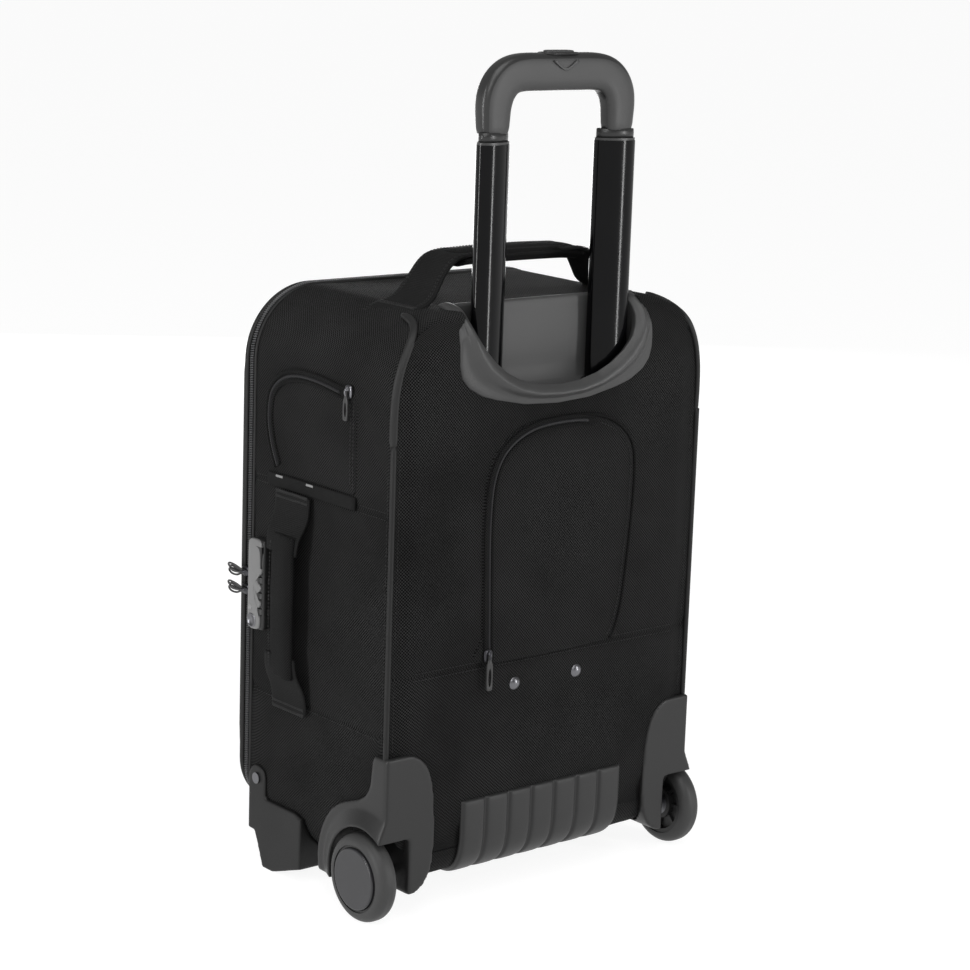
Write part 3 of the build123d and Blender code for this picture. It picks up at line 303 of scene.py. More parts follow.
# The cup's front wall is the bezel's own plastic painted lighter, as painted light where the wall is lit.
BEZEL_WALL_PAINTED_LIT = moulded("bezel_wall_plastic_painted_lit", 0.045, 0.5, grain=1600.0, bump=0.22, specular=0.35)
FOOT = moulded("foot_plastic", 0.006, 0.5, grain=1500.0, bump=0.22, specular=0.25)
HOUSING = moulded("housing_plastic", 0.010, 0.42, grain=1500.0, bump=0.22, specular=0.35)
SKID = moulded("skid_plastic", 0.016, 0.48, grain=1500.0, bump=0.22, specular=0.35)
GRIP = moulded("grip_plastic", 0.02, 0.3, grain=1800.0, bump=0.08, specular=0.35)
GRIP_SATIN = moulded("grip_satin", 0.036, 0.45, grain=1800.0, bump=0.15, specular=0.35)
TUBE = polished("tube_gloss_black", (0.0012, 0.0012, 0.0015), 0.14, specular=0.16)
COLLAR = moulded("collar_plastic", 0.025, 0.4)
TYRE = moulded("tyre_rubber", 0.032, 0.5, grain=900.0, bump=0.2, specular=0.3)
CAP = polished("cap_gloss_dark", (0.022, 0.022, 0.024), 0.3, specular=0.4)
HUB = moulded("hub_plastic", 0.01, 0.45, specular=0.35)
STEEL = polished("screw_steel", (0.16, 0.16, 0.17), 0.3, metallic=1.0)
DARK_STEEL = polished("gunmetal", (0.05, 0.05, 0.055), 0.35, metallic=1.0)
LOCK = moulded("lock_satin", 0.012, 0.42, grain=1700.0, bump=0.12, specular=0.3)
LOCK_FACE = moulded("lock_face_satin", 0.13, 0.4, grain=1700.0, bump=0.12)
RED = moulded("mark_red", 0.2, 0.5)
DIAL = moulded("dial_black", 0.012, 0.35)
PULL = moulded("pull_plastic", 0.015, 0.45)

# What each CAD node is painted with; any other node is black like the piping.
LOOKS = {
    "handle_bezel": BEZEL,
    "skid_plate": SKID,
    "front_feet": FOOT,
    "middle_collars": COLLAR,
}
for material, words in (
        (DARK_STEEL, "base_tubes back_pocket_slider front_pocket_slider main_slider_lower main_slider_upper"),
        (STEEL, "fasteners axles lock_key_cylinder side_pocket_slider wheel_bearings_left"
                " wheel_bearings_right"),
        (PULL, "back_pocket_tab side_pocket_tab front_pocket_tab main_tab_lower main_tab_upper"),
        (DIAL, "lock_dial_1 lock_dial_2 lock_dial_3"),
        (HUB, "tube_brackets frame_board wheel_hub_left wheel_hub_right"),
        (LOCK, "lock_body lock_release"),
        (GRIP, "grip grip_button"),
        (TUBE, "middle_tube_left middle_tube_right inner_tube_left inner_tube_right"),
        (HOUSING, "wheel_housing_left wheel_housing_right"),
        (TYRE, "wheel_tyre_left wheel_tyre_right"),
        (CAP, "wheel_cap_left wheel_cap_right")):
    for word in words.split():
        LOOKS[word] = material


# ---- Mesh helpers ----------------------------------------------------------------------------
def mm(*values):
    """A point given in millimetres."""
    return Vector(values) * 0.001


def clamped(value):
    """A number kept between zero and one."""
    return max(0.0, min(1.0, value))


def eased(value):
    """Zero to one with soft ends."""
    t = clamped(value)
    return t * t * (3 - 2 * t)


def attach(obj, body, node_name=None):
    """Let a piece ride on a body, and stand for a CAD node if it is given one."""
    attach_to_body(obj, body)
    if node_name:
        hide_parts(node_name)


def new_object(name, verts, faces, materials, uvs=None, face_slots=None):
    """A mesh object with a "cloth" UV map laid out in metres."""
    mesh = bpy.data.meshes.new(name)
    mesh.from_pydata([tuple(v) for v in verts], [], faces)
    for material in materials if isinstance(materials, (list, tuple)) else [materials]:
        mesh.materials.append(material)
    layer = mesh.uv_layers.new(name="cloth")
    if uvs:
        for loop in mesh.loops:
            layer.data[loop.index].uv = uvs[loop.vertex_index]
    for polygon in mesh.polygons:
        polygon.use_smooth = True
        if face_slots:
            polygon.material_index = face_slots[polygon.index]
    obj = bpy.data.objects.new(name, mesh)
    bpy.context.scene.collection.objects.link(obj)
    if not uvs:
        box_uv(obj)
    return obj


def box_uv(obj):
    """Shade smooth, and lay the cloth map out in metres by each face's main direction."""
    mesh = obj.data
    layer = mesh.uv_layers.get("cloth") or mesh.uv_layers.new(name="cloth")
    for polygon in mesh.polygons:
        polygon.use_smooth = True
        normal = polygon.normal
        axis = max(range(3), key=lambda k: abs(normal[k]))
        first, second = [(1, 2), (0, 2), (0, 1)][axis]
        for index in polygon.loop_indices:
            point = mesh.vertices[mesh.loops[index].vertex_index].co
            layer.data[index].uv = (point[first], point[second])


def grid(name, rows, material, keep=None, flip=False):
    """A sheet through rows of points; keep(centre) says which of its faces stay."""
    wide = len(rows[0])
    verts = [point for row in rows for point in row]
    uvs = []
    heights = [0.0] * wide
    for r, row in enumerate(rows):
        run = 0.0
        for c, point in enumerate(row):
            run += (point - row[c - 1]).length if c else 0.0
            heights[c] += (point - rows[r - 1][c]).length if r else 0.0
            uvs.append([run, heights[c]])
    middle = sum(uvs[(len(rows) // 2) * wide + c][0] for c in (0, wide - 1)) / 2
    for r in range(len(rows)):
        own = (uvs[r * wide][0] + uvs[r * wide + wide - 1][0]) / 2
        for c in range(wide):
            uvs[r * wide + c][0] += middle - own
    faces = []
    for r in range(len(rows) - 1):
        for c in range(wide - 1):
            corners = [r * wide + c, r * wide + c + 1, (r + 1) * wide + c + 1, (r + 1) * wide + c]
            centre = sum((verts[k] for k in corners), Vector()) / 4
            if keep and not keep(centre):
                continue
            faces.append(corners[::-1] if flip else corners)
    return new_object(name, verts, faces, material, uvs)


def tube(name, rings, materials, closed=False, caps=True, slots=None):
    """A skin through closed rings of points; slots gives a side's material by its place in the ring."""
    count = len(rings[0])
    verts = [point for ring in rings for point in ring]
    faces, face_slots = [], []
    spans = len(rings) if closed else len(rings) - 1
    for r in range(spans):
        below, above = r * count, ((r + 1) % len(rings)) * count
        for c in range(count):
            d = (c + 1) % count
            faces.append([below + c, below + d, above + d, above + c])
            face_slots.append(slots(c / count) if slots else 0)
    if caps and not closed:
        faces.append(list(range(count))[::-1])
        faces.append([(len(rings) - 1) * count + c for c in range(count)])
        face_slots += [0, 0]
    mesh_runs, run = [], 0.0
    for r, ring in enumerate(rings):
        run += (ring[0] - rings[r - 1][0]).length if r else 0.0
        mesh_runs.append(run)
    ring_runs = [0.0]
    for c in range(1, count):
        ring_runs.append(ring_runs[-1] + (rings[0][c] - rings[0][c - 1]).length)
    uvs = [(ring_runs[c], mesh_runs[r]) for r in range(len(rings)) for c in range(count)]
    return new_object(name, verts, faces, materials, uvs, face_slots)


def smooth_path(points, step, closed=False):
    """A Catmull-Rom curve through points, sampled about every step metres."""
    count = len(points)
    path = []
    for k in range(count if closed else count - 1):
        before = points[(k - 1) % count] if closed or k else points[0] * 2 - points[1]
        here, after = points[k], points[(k + 1) % count]
        last = k + 2 < count or closed
        beyond = points[(k + 2) % count] if last else after * 2 - here
        parts = max(1, int((after - here).length / step + 0.5))
        for part in range(parts):
            t = part / parts
            path.append(0.5 * ((2 * here) + (after - before) * t
                               + (2 * before - 5 * here + 4 * after - beyond) * t * t
                               + (3 * here - before - 3 * after + beyond) * t ** 3))
    if not closed:
        path.append(points[-1].copy())
    return path


def frames_along(path, out, closed=False):
    """(point, across, outward) at each point; out is a direction or a function of the point."""
    made = []
    for k, point in enumerate(path):
        before = path[k - 1] if k or closed else path[k]
        after = path[(k + 1) % len(path)] if k + 1 < len(path) or closed else path[k]
        ahead = (after - before).normalized()
        outward = out(point) if callable(out) else Vector(out)
        outward = (outward - ahead * outward.dot(ahead)).normalized()
        made.append((point, ahead.cross(outward), outward))
    return made


def sweep(name, path, section, out, material, closed=False, scale=None):
    """Sweep a closed (across, outward) section, in metres, along a path."""
    rings = []
    for k, (point, across, outward) in enumerate(frames_along(path, out, closed)):
        size = scale(k / max(1, len(path) - 1)) if scale else (1, 1)
        rings.append([point + across * a * size[0] + outward * b * size[1] for a, b in section])
    return tube(name, rings, material, closed)


def round_section(width, height, sides=12, power=2.0, lift=0.0):
    """A superellipse section, in metres."""
    points = []
    for k in range(sides):
        angle = 2 * pi * k / sides
        c, s = cos(angle), sin(angle)
        points.append((width / 2 * abs(c) ** (2 / power) * (1 if c > 0 else -1),
                       height / 2 * abs(s) ** (2 / power) * (1 if s > 0 else -1) + lift))
    return points


def walked(path, distances):
    """(span, point) at each of some growing distances along a path."""
    lengths = [0.0]
    for k in range(1, len(path)):
        lengths.append(lengths[-1] + (path[k] - path[k - 1]).length)
    k = 0
    for at in distances(lengths[-1]):
        while k + 2 < len(path) and lengths[k + 1] < at:
            k += 1
        t = (at - lengths[k]) / max(1e-9, lengths[k + 1] - lengths[k])
        yield k, path[k].lerp(path[k + 1], min(1.0, t))


def smooth_path_even(points, count):
    """A smooth path resampled to an even number of points."""
    path = smooth_path(points, 1.5)
    return [point for _, point in
            walked(path, lambda whole: [whole * k / (count - 1) for k in range(count)])]


BEAD_POINTS = ((-1, 0, -1), (-0.6, -1, -1), (0.6, -1, -1), (1, 0, -1), (0.6, 1, -1), (-0.6, 1, -1),
               (-0.55, -0.5, 1), (0.55, -0.5, 1), (0.55, 0.5, 1), (-0.55, 0.5, 1))
BEAD_FACES = ((6, 7, 8, 9), (1, 2, 7, 6), (4, 5, 9, 8), (2, 3, 7), (3, 4, 8), (3, 8, 7), (5, 0, 9),
              (0, 1, 6), (0, 6, 9))


def row_of(name, path, out, material, pitch, shape, lift=0.0):
    """Small rounded beads in a row: stitches or zip teeth. shape is (along, across, outward)."""
    placed = frames_along(path, out)
    verts, faces = [], []
    half = [s / 2 for s in shape]
    for k, point in walked(path, lambda whole: [(n + 0.5) * pitch for n in range(int(whole / pitch))]):
        _, across, outward = placed[k]
        ahead = outward.cross(across)
        faces += [[len(verts) + f for f in face] for face in BEAD_FACES]
        verts += [point + ahead * a * half[0] + across * c * half[1] + outward * (o * half[2] + lift)
                  for a, c, o in BEAD_POINTS]
    return new_object(name, verts, faces, material)


def stitches(name, path, out, body):
    """A line of stitching in black thread."""
    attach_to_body(row_of(name, path, out, THREAD, 0.0036, (0.0026, 0.0007, 0.0006)), body)


def band(name, path, out, width, thickness, material, power=4.0, lift=0.0, scale=None):
    """A flat strap or tape swept along a path, lying on its lower face."""
    section = round_section(width, thickness, 16, power, thickness / 2 + lift)
    return sweep(name, path, section, out, material, scale=scale)


def bumpy(point, size, scale=0.03, seed=0.0):
    """A soft, repeatable unevenness for cloth."""
    return size * noise.noise(point / scale + Vector((seed, seed * 1.7, seed * 0.3)))


def modify(obj, kind, **settings):
    """Add a modifier and apply it."""
    modifier = obj.modifiers.new(kind, kind)
    for key, value in settings.items():
        setattr(modifier, key, value)
    bpy.context.view_layer.update()
    graph = bpy.context.evaluated_depsgraph_get()
    made = bpy.data.meshes.new_from_object(obj.evaluated_get(graph))
    obj.modifiers.clear()
    old = obj.data
    obj.data = made
    bpy.data.meshes.remove(old)
    return obj


def welded(obj):
    """Join the points that meet, and lay the cloth map out afresh."""
    modify(obj, "WELD", merge_threshold=0.00002)
    box_uv(obj)
    return obj


def softened(node_name, name, material, voxel, rounds=8):
    """A moulded copy of a CAD node, its sharp edges rounded as a mould leaves them."""
    source = nodes[node_name]
    obj = bpy.data.objects.new(name, source.data.copy())
    bpy.context.scene.collection.objects.link(obj)
    modify(obj, "WELD", merge_threshold=0.00002)
    modify(obj, "REMESH", mode="VOXEL", voxel_size=voxel, use_smooth_shade=True)
    modify(obj, "SMOOTH", factor=0.5, iterations=rounds)
    obj.data.materials.clear()
    obj.data.materials.append(material)
    box_uv(obj)
    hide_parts(node_name)
    return obj


def inflate(obj, pressure, cap, voxel, frames=18):
    """Fill a closed cloth skin: remesh it, let pressure swell it, and hold each point within cap."""
    modify(obj, "REMESH", mode="VOXEL", voxel_size=voxel, use_smooth_shade=True)
    rest = [v.co.copy() for v in obj.data.vertices]
    cloth = obj.modifiers.new("cloth", "CLOTH")
    cloth.settings.use_pressure = True
    cloth.settings.uniform_pressure_force = pressure
    cloth.settings.mass = 0.2
    cloth.settings.tension_stiffness = 12
    cloth.settings.bending_stiffness = 4
    cloth.settings.effector_weights.gravity = 0
    for step in range(1, frames + 1):
        bpy.context.scene.frame_set(step)
    graph = bpy.context.evaluated_depsgraph_get()
    blown = [v.co.copy() for v in obj.evaluated_get(graph).data.vertices]
    obj.modifiers.clear()
    bpy.context.scene.frame_set(1)
    for vertex, start, end in zip(obj.data.vertices, rest, blown):
        move = end - start
        if move.length > cap:
            move = move.normalized() * cap
        vertex.co = start + move
    modify(obj, "SMOOTH", factor=0.5, iterations=4)
    modify(obj, "SUBSURF", levels=1)
    box_uv(obj)
    return obj


# ---- The case's skin -------------------------------------------------------------------------
HALF_WIDTH = 169.0
BOTTOM_Z, TOP_Z = 26.0, 514.0
BACK_Y, FRONT_Y = 98.0, -118.0
TOP_RADIUS, BOTTOM_RADIUS = 62.0, 45.0
EDGE_RADII = {"back_top": 10.0, "back_bottom": 28.0, "front_top": 17.0, "front_bottom": 50.0}
RIM_Y, ZIP_Y = -100.0, -103.5
WHEEL_YZ = (78, 38)
SIDE_SEAMS = (162.0, 350.0)
BACK_SEAM = 213.0
NOTCH_X = 97.0


def edge_drop(distance, radius):
    """How far a rounded edge has fallen at a distance from the face beside it."""
    if distance >= radius:
        return 0.0
    return radius - sqrt(max(0.0, radius ** 2 - (radius - distance) ** 2))


def z_limits(y, inset=0.0):
    """The lowest and highest Z of the case at a depth y."""
    to_back, to_front = BACK_Y - inset - y, y - FRONT_Y - inset
    low = max(edge_drop(to_back, EDGE_RADII["back_bottom"] - inset),
              edge_drop(to_front, EDGE_RADII["front_bottom"] - inset))
    high = max(edge_drop(to_back, EDGE_RADII["back_top"] - inset),
               edge_drop(to_front, EDGE_RADII["front_top"] - inset))
    return BOTTOM_Z + inset + low, TOP_Z - inset - high


def spread(start, end, parts, last=False):
    values = [start + (end - start) * k / parts for k in range(parts)]
    return values + [end] if last else values


def half_outline(y, inset=0.0):
    """The left half of the case's outline at depth y, from the bottom middle to the top middle."""
    half = HALF_WIDTH - inset
    low, high = z_limits(y, inset)
    rb, rt = BOTTOM_RADIUS - inset, TOP_RADIUS - inset
    points = [(x, low) for x in spread(0, half - rb, 20)]
    for angle in spread(-90, 0, 14):
        points.append((half - rb + rb * cos(radians(angle)), low + rb + rb * sin(radians(angle))))
    for start, end, parts in ((low + rb, SIDE_SEAMS[0], 12), (*SIDE_SEAMS, 30), (SIDE_SEAMS[1], high - rt, 18)):
        points += [(half, z) for z in spread(start, end, parts)]
    for angle in spread(0, 90, 22):
        points.append((half - rt + rt * cos(radians(angle)), high - rt + rt * sin(radians(angle))))
    points += [(x, high) for x in spread(half - rt, NOTCH_X, 3)]
    points += [(x, high) for x in spread(NOTCH_X, 0, 16, last=True)]
    return points


LOW_SEAM_INDEX, HIGH_SEAM_INDEX = 46, 76


def full_outline(y, inset=0.0):
    """The whole closed outline at depth y."""
    left = half_outline(y, inset)
    return left + [(-x, z) for x, z in left[-2:0:-1]]


def ring_path(y, inset=0.0):
    """The case's outline at one depth, as points."""
    return [mm(x, y, z) for x, z in full_outline(y, inset)]


def closed_ring(y, inset=0.0):
    """The same outline with its first point again at the end."""
    ring = ring_path(y, inset)
    return ring + ring[:1]


def outward_xz(point):
    """The way out of the case at a point on its band, across Y."""
    x, z = point.x * 1000, point.z * 1000
    centre_x = max(-HALF_WIDTH + TOP_RADIUS, min(HALF_WIDTH - TOP_RADIUS, x))
    if z > TOP_Z - TOP_RADIUS:
        centre_z = TOP_Z - TOP_RADIUS
    elif z < BOTTOM_Z + BOTTOM_RADIUS + 20:
        centre_x = max(-HALF_WIDTH + BOTTOM_RADIUS, min(HALF_WIDTH - BOTTOM_RADIUS, x))
        centre_z = BOTTOM_Z + BOTTOM_RADIUS + 20
    else:
        return Vector((1 if x > 0 else -1, 0, 0))
    if abs(x) < HALF_WIDTH - TOP_RADIUS:
        return Vector((0, 0, 1 if z > 200 else -1))
    return Vector((x - centre_x, 0, z - centre_z)).normalized()


def in_well(centre):
    """Whether a point lies where a wheel well is."""
    x, y, z = centre * 1000
    return abs(x) > 142 and hypot(y - WHEEL_YZ[0], z - WHEEL_YZ[1]) < 46


def in_notch(centre):
    """Whether a point lies where the handle's cup opens the top."""
    x, y, z = centre * 1000
    return z > 430 and abs(x) < NOTCH_X and y > 73


def make_gusset():
    """The band's four cloth panels, rolled in at their seams."""
    stations = [-100, -97, -94, -90, -84, -76, -66, -54, -42, -30, -18, -6, 6, 18, 30, 42, 54, 64, 73,
                80, 86, 90, 93, 95.5, 97.2, 98]
    rows = []
    for y in stations:
        row = []
        for x, z in full_outline(y):
            point = mm(x, y, z)
            out = outward_xz(point)
            near = min(abs(z - seam) for seam in SIDE_SEAMS) if abs(x) > 150 else 99
            sink = 1.3 * exp(-(near / 2.2) ** 2) + 0.9 * exp(-((y - RIM_Y) / 6) ** 2)
            row.append(point + out * (bumpy(point, 0.0012, 0.07) + bumpy(point, 0.0004, 0.02, 3.0)
                                      - 0.001 * sink))
        rows.append(row)
    low, high = LOW_SEAM_INDEX, HIGH_SEAM_INDEX
    whole = len(rows[0])
    spans = {
        "gusset_left": range(low, high + 1),
        "gusset_top": range(high, whole - high + 1),
        "gusset_right": range(whole - high, whole - low + 1),
        "gusset_bottom": range(whole - low, whole + low + 1),
    }
    made = []
    for name, span in spans.items():
        part = [[row[k % whole] for k in span] for row in rows]
        made.append(grid(name, part, FABRIC, lambda c: not in_well(c) and not in_notch(c)))
    for obj in made:
        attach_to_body(obj, "case_body")
    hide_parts("gusset")
    for side in SIDES.values():
        for seam, shift in ((162, -3), (350, 3), (350, -3)):
            path = [mm(side * 168.9, y, seam + shift) for y in range(-94, 92, 4)]
            stitches(f"gusset_stitches_{seam}_{shift + 9}_{side + 1}", path, (side, 0, 0), "case_body")


def panel_height(x, z, half, low, high, radius):
    """How far the back panel bulges at (x, z): flat at its edge, raised over the tubes."""
    across = half - abs(x)
    corner_x, corner_z = abs(x) - (half - radius), z - (high - radius)
    if corner_x > 0 and corner_z > 0:
        across = radius - hypot(corner_x, corner_z)
    distance = min(across, high - z, z - low)
    return 4.2 * eased((distance - 3) / 20)


def between(value, pairs):
    """The second of each pair at a value of the first, in straight runs."""
    for (a, b), (c, d) in zip(pairs, pairs[1:]):
        if value <= c:
            return b + (d - b) * max(0.0, (value - a) / (c - a))
    return pairs[-1][1]


def in_bezel_hole(centre):
    """Whether a point of the back lies well inside the bezel's flange."""
    x, _, z = centre * 1000
    edge = [(height, width) for width, height, _ in BEZEL_OUTER]
    return z - 4 > edge[0][0] and abs(x) + 4 < between(z - 4, edge)


def make_back_panel():
    """The back's upper and lower cloth panels."""
    for name, low, high in (("back_panel_upper", BACK_SEAM, 507), ("back_panel_lower", 54, BACK_SEAM)):
        rows = []
        levels = spread(low, high, 44 if high > 300 else 26, last=True)
        for z in levels:
            half = HALF_WIDTH - 1.0
            rt = TOP_RADIUS - 1.0
            if z > TOP_Z - TOP_RADIUS:
                half = half - rt + sqrt(max(0, rt ** 2 - (z - (TOP_Z - TOP_RADIUS)) ** 2))
            elif z < BOTTOM_Z + 28 + BOTTOM_RADIUS:
                drop = BOTTOM_Z + 28 + BOTTOM_RADIUS - z
                half = half - BOTTOM_RADIUS + sqrt(max(0, BOTTOM_RADIUS ** 2 - drop ** 2))
            row = []
            for t in spread(-1, 1, 64, last=True):
                x = half * sin(t * pi / 2) * 0.35 + half * t * 0.65
                y = BACK_Y + panel_height(x, z, half, 60, TOP_Z - 8, rt - 6)
                seam = 1.4 * exp(-((z - BACK_SEAM) / 2.2) ** 2)
                point = mm(x, y, z)
                y += 1000 * (bumpy(point, 0.0010, 0.08, 5.0) + bumpy(point, 0.0003, 0.02, 2.0)) - seam
                row.append(mm(x, y, z))
            rows.append(row)
        panel = grid(name, rows, FABRIC, lambda c: not in_bezel_hole(c), flip=True)
        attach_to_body(panel, "case_body")
        if high > 300:
            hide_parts("back_panel")
    for shift in (-3, 3):
        path = [mm(x, BACK_Y + 4.6, BACK_SEAM + shift) for x in range(-146, 148, 4)]
        stitches(f"back_seam_stitches_{shift + 3}", path, (0, 1, 0), "case_body")


def make_piping():
    """Corded piping: round the rim, up the back edges and round the lid."""
    rim = sweep("rim_piping", ring_path(-98.4, 0.5), round_section(0.0034, 0.0034, 10), outward_xz, PIPING,
                closed=True)
    attach(rim, "case_body", "body_piping")
    lid = sweep("lid_piping_cord", ring_path(-109.3, -0.8), round_section(0.0052, 0.0044, 12), outward_xz,
                PIPING, closed=True)
    attach(lid, "lid", "lid_piping")
    for word, side in SIDES.items():
        out = Vector((side, 1, 0)).normalized()
        path = [mm(side * 169.6, 98.2, z) for z in range(134, 416, 6)]
        cord = sweep("edge_piping_" + word, path, round_section(0.0048, 0.0048, 12), out, PIPING)
        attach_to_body(cord, "case_body")
        for step, (x, y) in enumerate(((169.3, 91.5), (163.0, 98.3))):
            line = [mm(side * x, y, z) for z in range(150, 408, 4)]
            facing = (side, 0, 0) if step == 0 else (0, 1, 0)
            stitches(f"edge_stitches_{word}_{step}", line, facing, "case_body")


def make_guards():
    """The rubber strips over the upper back edges, turned forward on to the top."""
    points = [(168.6, 96.5, 406), (168.9, 96.8, 430), (167.6, 97, 452), (163.2, 97, 472), (155.5, 95.8, 488),
              (147, 91, 498.5), (140, 82, 505), (136.5, 70, 508.2), (135.5, 62, 508.8)]
    for word, side in SIDES.items():
        path = smooth_path([mm(side * x, y, z) for x, y, z in points], 0.003)

        def out(point, side=side):
            x, y, z = point * 1000
            lean = Vector((side * (abs(x) - 107), 0, max(0, z - 452))).normalized()
            back = clamped((y - 84) / 12)
            return (lean + Vector((0, 1, 0)) * back).normalized()

        guard = band("corner_guard_" + word, path, out, 0.0068, 0.0044, GUARD, power=2.6, lift=-0.0012,
                     scale=lambda t: (min(1, 0.5 + 8 * min(t, 1 - t)), 1))
        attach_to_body(guard, "case_body")
        if side > 0:
            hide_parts("corner_guards")


def make_main_zip():
    """The main zip: two tapes, each with its row of coil, and a chain between."""
    for name, body, node_name, low, high in (
            ("zip_tape_case", "case_body", "zip_tape_body", -103.4, -99.6),
            ("zip_tape_lid", "lid", "lid_zip_tape", -107.4, -103.6)):
        rows = [closed_ring(y, 1.2) for y in spread(low, high, 2, last=True)]
        tape = grid(name, rows, TAPE)
        attach(tape, body, node_name)
        edge = -102.6 if body == "case_body" else -104.4
        path = ring_path(edge, -0.7)
        teeth = row_of(name + "_coil", path + path[:1], outward_xz, CHAIN, 0.0021, (0.0015, 0.0019, 0.0018))
        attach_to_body(teeth, body)


def make_lid():
    """The lid's cloth: a crowned front and its turned side band."""
    stations = [-107, -108.5, -110, -112, -114, -116, -117.2, -117.9]
    rows = []
    for y in stations:
        inset = 1.6 * max(0, (-112 - y) / 6) ** 2
        rows.append(closed_ring(y, inset))
    edge = full_outline(-117.9, 1.6)
    middle_z = 265
    for share in spread(0.985, 0.0, 22, last=True):
        ring = []
        for x, z in edge:
            flat = mm(x * share, 0, middle_z + (z - middle_z) * share)
            crown = 1.6 * (1 - share ** 4)
            point = mm(flat.x * 1000, -118 - crown, flat.z * 1000)
            ring.append(point + Vector((0, bumpy(point, 0.0008, 0.08, 8.0), 0)))
        rows.append(ring + ring[:1])
    lid = welded(grid("lid_cloth", rows, FABRIC, flip=True))
    attach(lid, "lid", "lid_panel")


# ---- Pockets ---------------------------------------------------------------------------------
SIDE_POCKET = [(-62, 360), (-66, 364), (-75, 384), (-81, 405), (-79.5, 425), (-71, 438), (-54, 449),
               (-34, 453.3), (-9, 453.4), (15, 451), (36, 448), (46, 446), (49.4, 440), (49.6, 400),
               (49.6, 364), (46, 359.5), (0, 359.4), (-40, 359.4)]
BACK_POCKET = [(-71, 214), (-77, 224), (-83, 245), (-87, 280), (-90, 316), (-92.2, 353), (-91, 380),
               (-84, 395), (-69, 408), (-49, 416), (-26, 420), (2, 420.3), (27, 418), (49, 410), (66, 395),
               (75, 371), (77.6, 337), (76.5, 290), (75, 240), (73, 214)]


def on_side(y, z, lift=0.0):
    """A point on the lock side's cloth, raised by lift in millimetres."""
    point = mm(HALF_WIDTH, y, z)
    return point + Vector((bumpy(point, 0.0012, 0.07) + 0.001 * lift, 0, 0))


def back_surface(x, z, lift=0.0):
    """A point on the back's cloth."""
    y = BACK_Y + panel_height(x, z, HALF_WIDTH - 1, 60, TOP_Z - 8, TOP_RADIUS - 7)
    point = mm(x, y, z)
    return point + Vector((0, bumpy(point, 0.0010, 0.08, 5.0) + 0.001 * lift, 0))


def crossings(path, height):
    """Where a closed flat path meets a level: its lowest and highest first coordinate."""
    found = []
    for a, b in zip(path, path[1:] + path[:1]):
        if (a.y - height) * (b.y - height) <= 0 and a.y != b.y:
            found.append(a.x + (b.x - a.x) * (height - a.y) / (b.y - a.y))
    return min(found), max(found)


def edge_distance(path, point):
    """How far a flat point lies from a closed flat path."""
    nearest = 1e9
    for a, b in zip(path, path[1:] + path[:1]):
        run = b - a
        t = clamped((point - a).dot(run) / max(1e-9, run.length_squared))
        nearest = min(nearest, (a + run * t - point).length)
    return nearest


def patch(name, outline, place, thickness, body, node_name, puff=0.8, flip=False):
    """A cloth patch inside a flat outline, its edge turned under and its middle slightly raised."""
    path = smooth_path([Vector((a, b, 0)) for a, b in outline], 4.0, closed=True)
    low, high = min(p.y for p in path) + 0.05, max(p.y for p in path) - 0.05
    near = [0.0, 0.004, 0.009, 0.016, 0.026, 0.04, 0.06, 0.085]
    shares = near + spread(0.12, 0.88, 22, last=True) + [1 - t for t in reversed(near)]
    rows = []
    for up in shares:
        height = low + (high - low) * up
        start, end = crossings(path, height)
        row = []
        for along in shares:
            flat = Vector((start + (end - start) * along, height, 0))
            edge = edge_distance(path, flat)
            lift = -0.4 + (thickness + 0.4) * eased(edge / 1.6) + puff * eased(edge / 14)
            row.append(place(flat.x, flat.y, lift))
        rows.append(row)
    attach(welded(grid(name, rows, FABRIC, flip=flip)), body, node_name)


def fading(t):
    """A strip's share of its full width and height, dying away at its far end."""
    share = min(1.0, 0.15 + 10 * (1 - t))
    return share, share


def zip_run(name, flat_path, place, out, body, node_name=None):
    """A pocket zip on a flat path: tape, coil and the folded welts beside it."""
    width = 0.009
    path = [place(a, b, 1.3) for a, b in flat_path]
    tape = band(name + "_tape", path, out, width, 0.0008, TAPE, scale=fading)
    coil = row_of(name + "_coil", path[:-4], out, COIL, 0.0016, (0.0012, 0.0042, 0.0016), lift=0.0008)
    spine = band(name + "_chain", path[:-4], out, 0.0014, 0.0008, COIL, lift=0.0009)
    attach(tape, body, node_name)
    for obj in (coil, spine):
        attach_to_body(obj, body)
    for sign in (-1, 1):
        side_path = [point + across * sign * width * 0.42
                     for point, across, _ in frames_along(path, out)]
        welt = sweep(f"{name}_welt_{sign + 1}", side_path, round_section(0.0038, 0.0022, 10, 2.0, 0.0007), out,
                     FABRIC_SOFT, scale=fading)
        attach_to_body(welt, body)


def flat_curve(points, step=3.0):
    """A smooth curve in a panel's flat measures."""
    return [(p.x, p.y) for p in smooth_path([Vector((a, b, 0)) for a, b in points], step)]


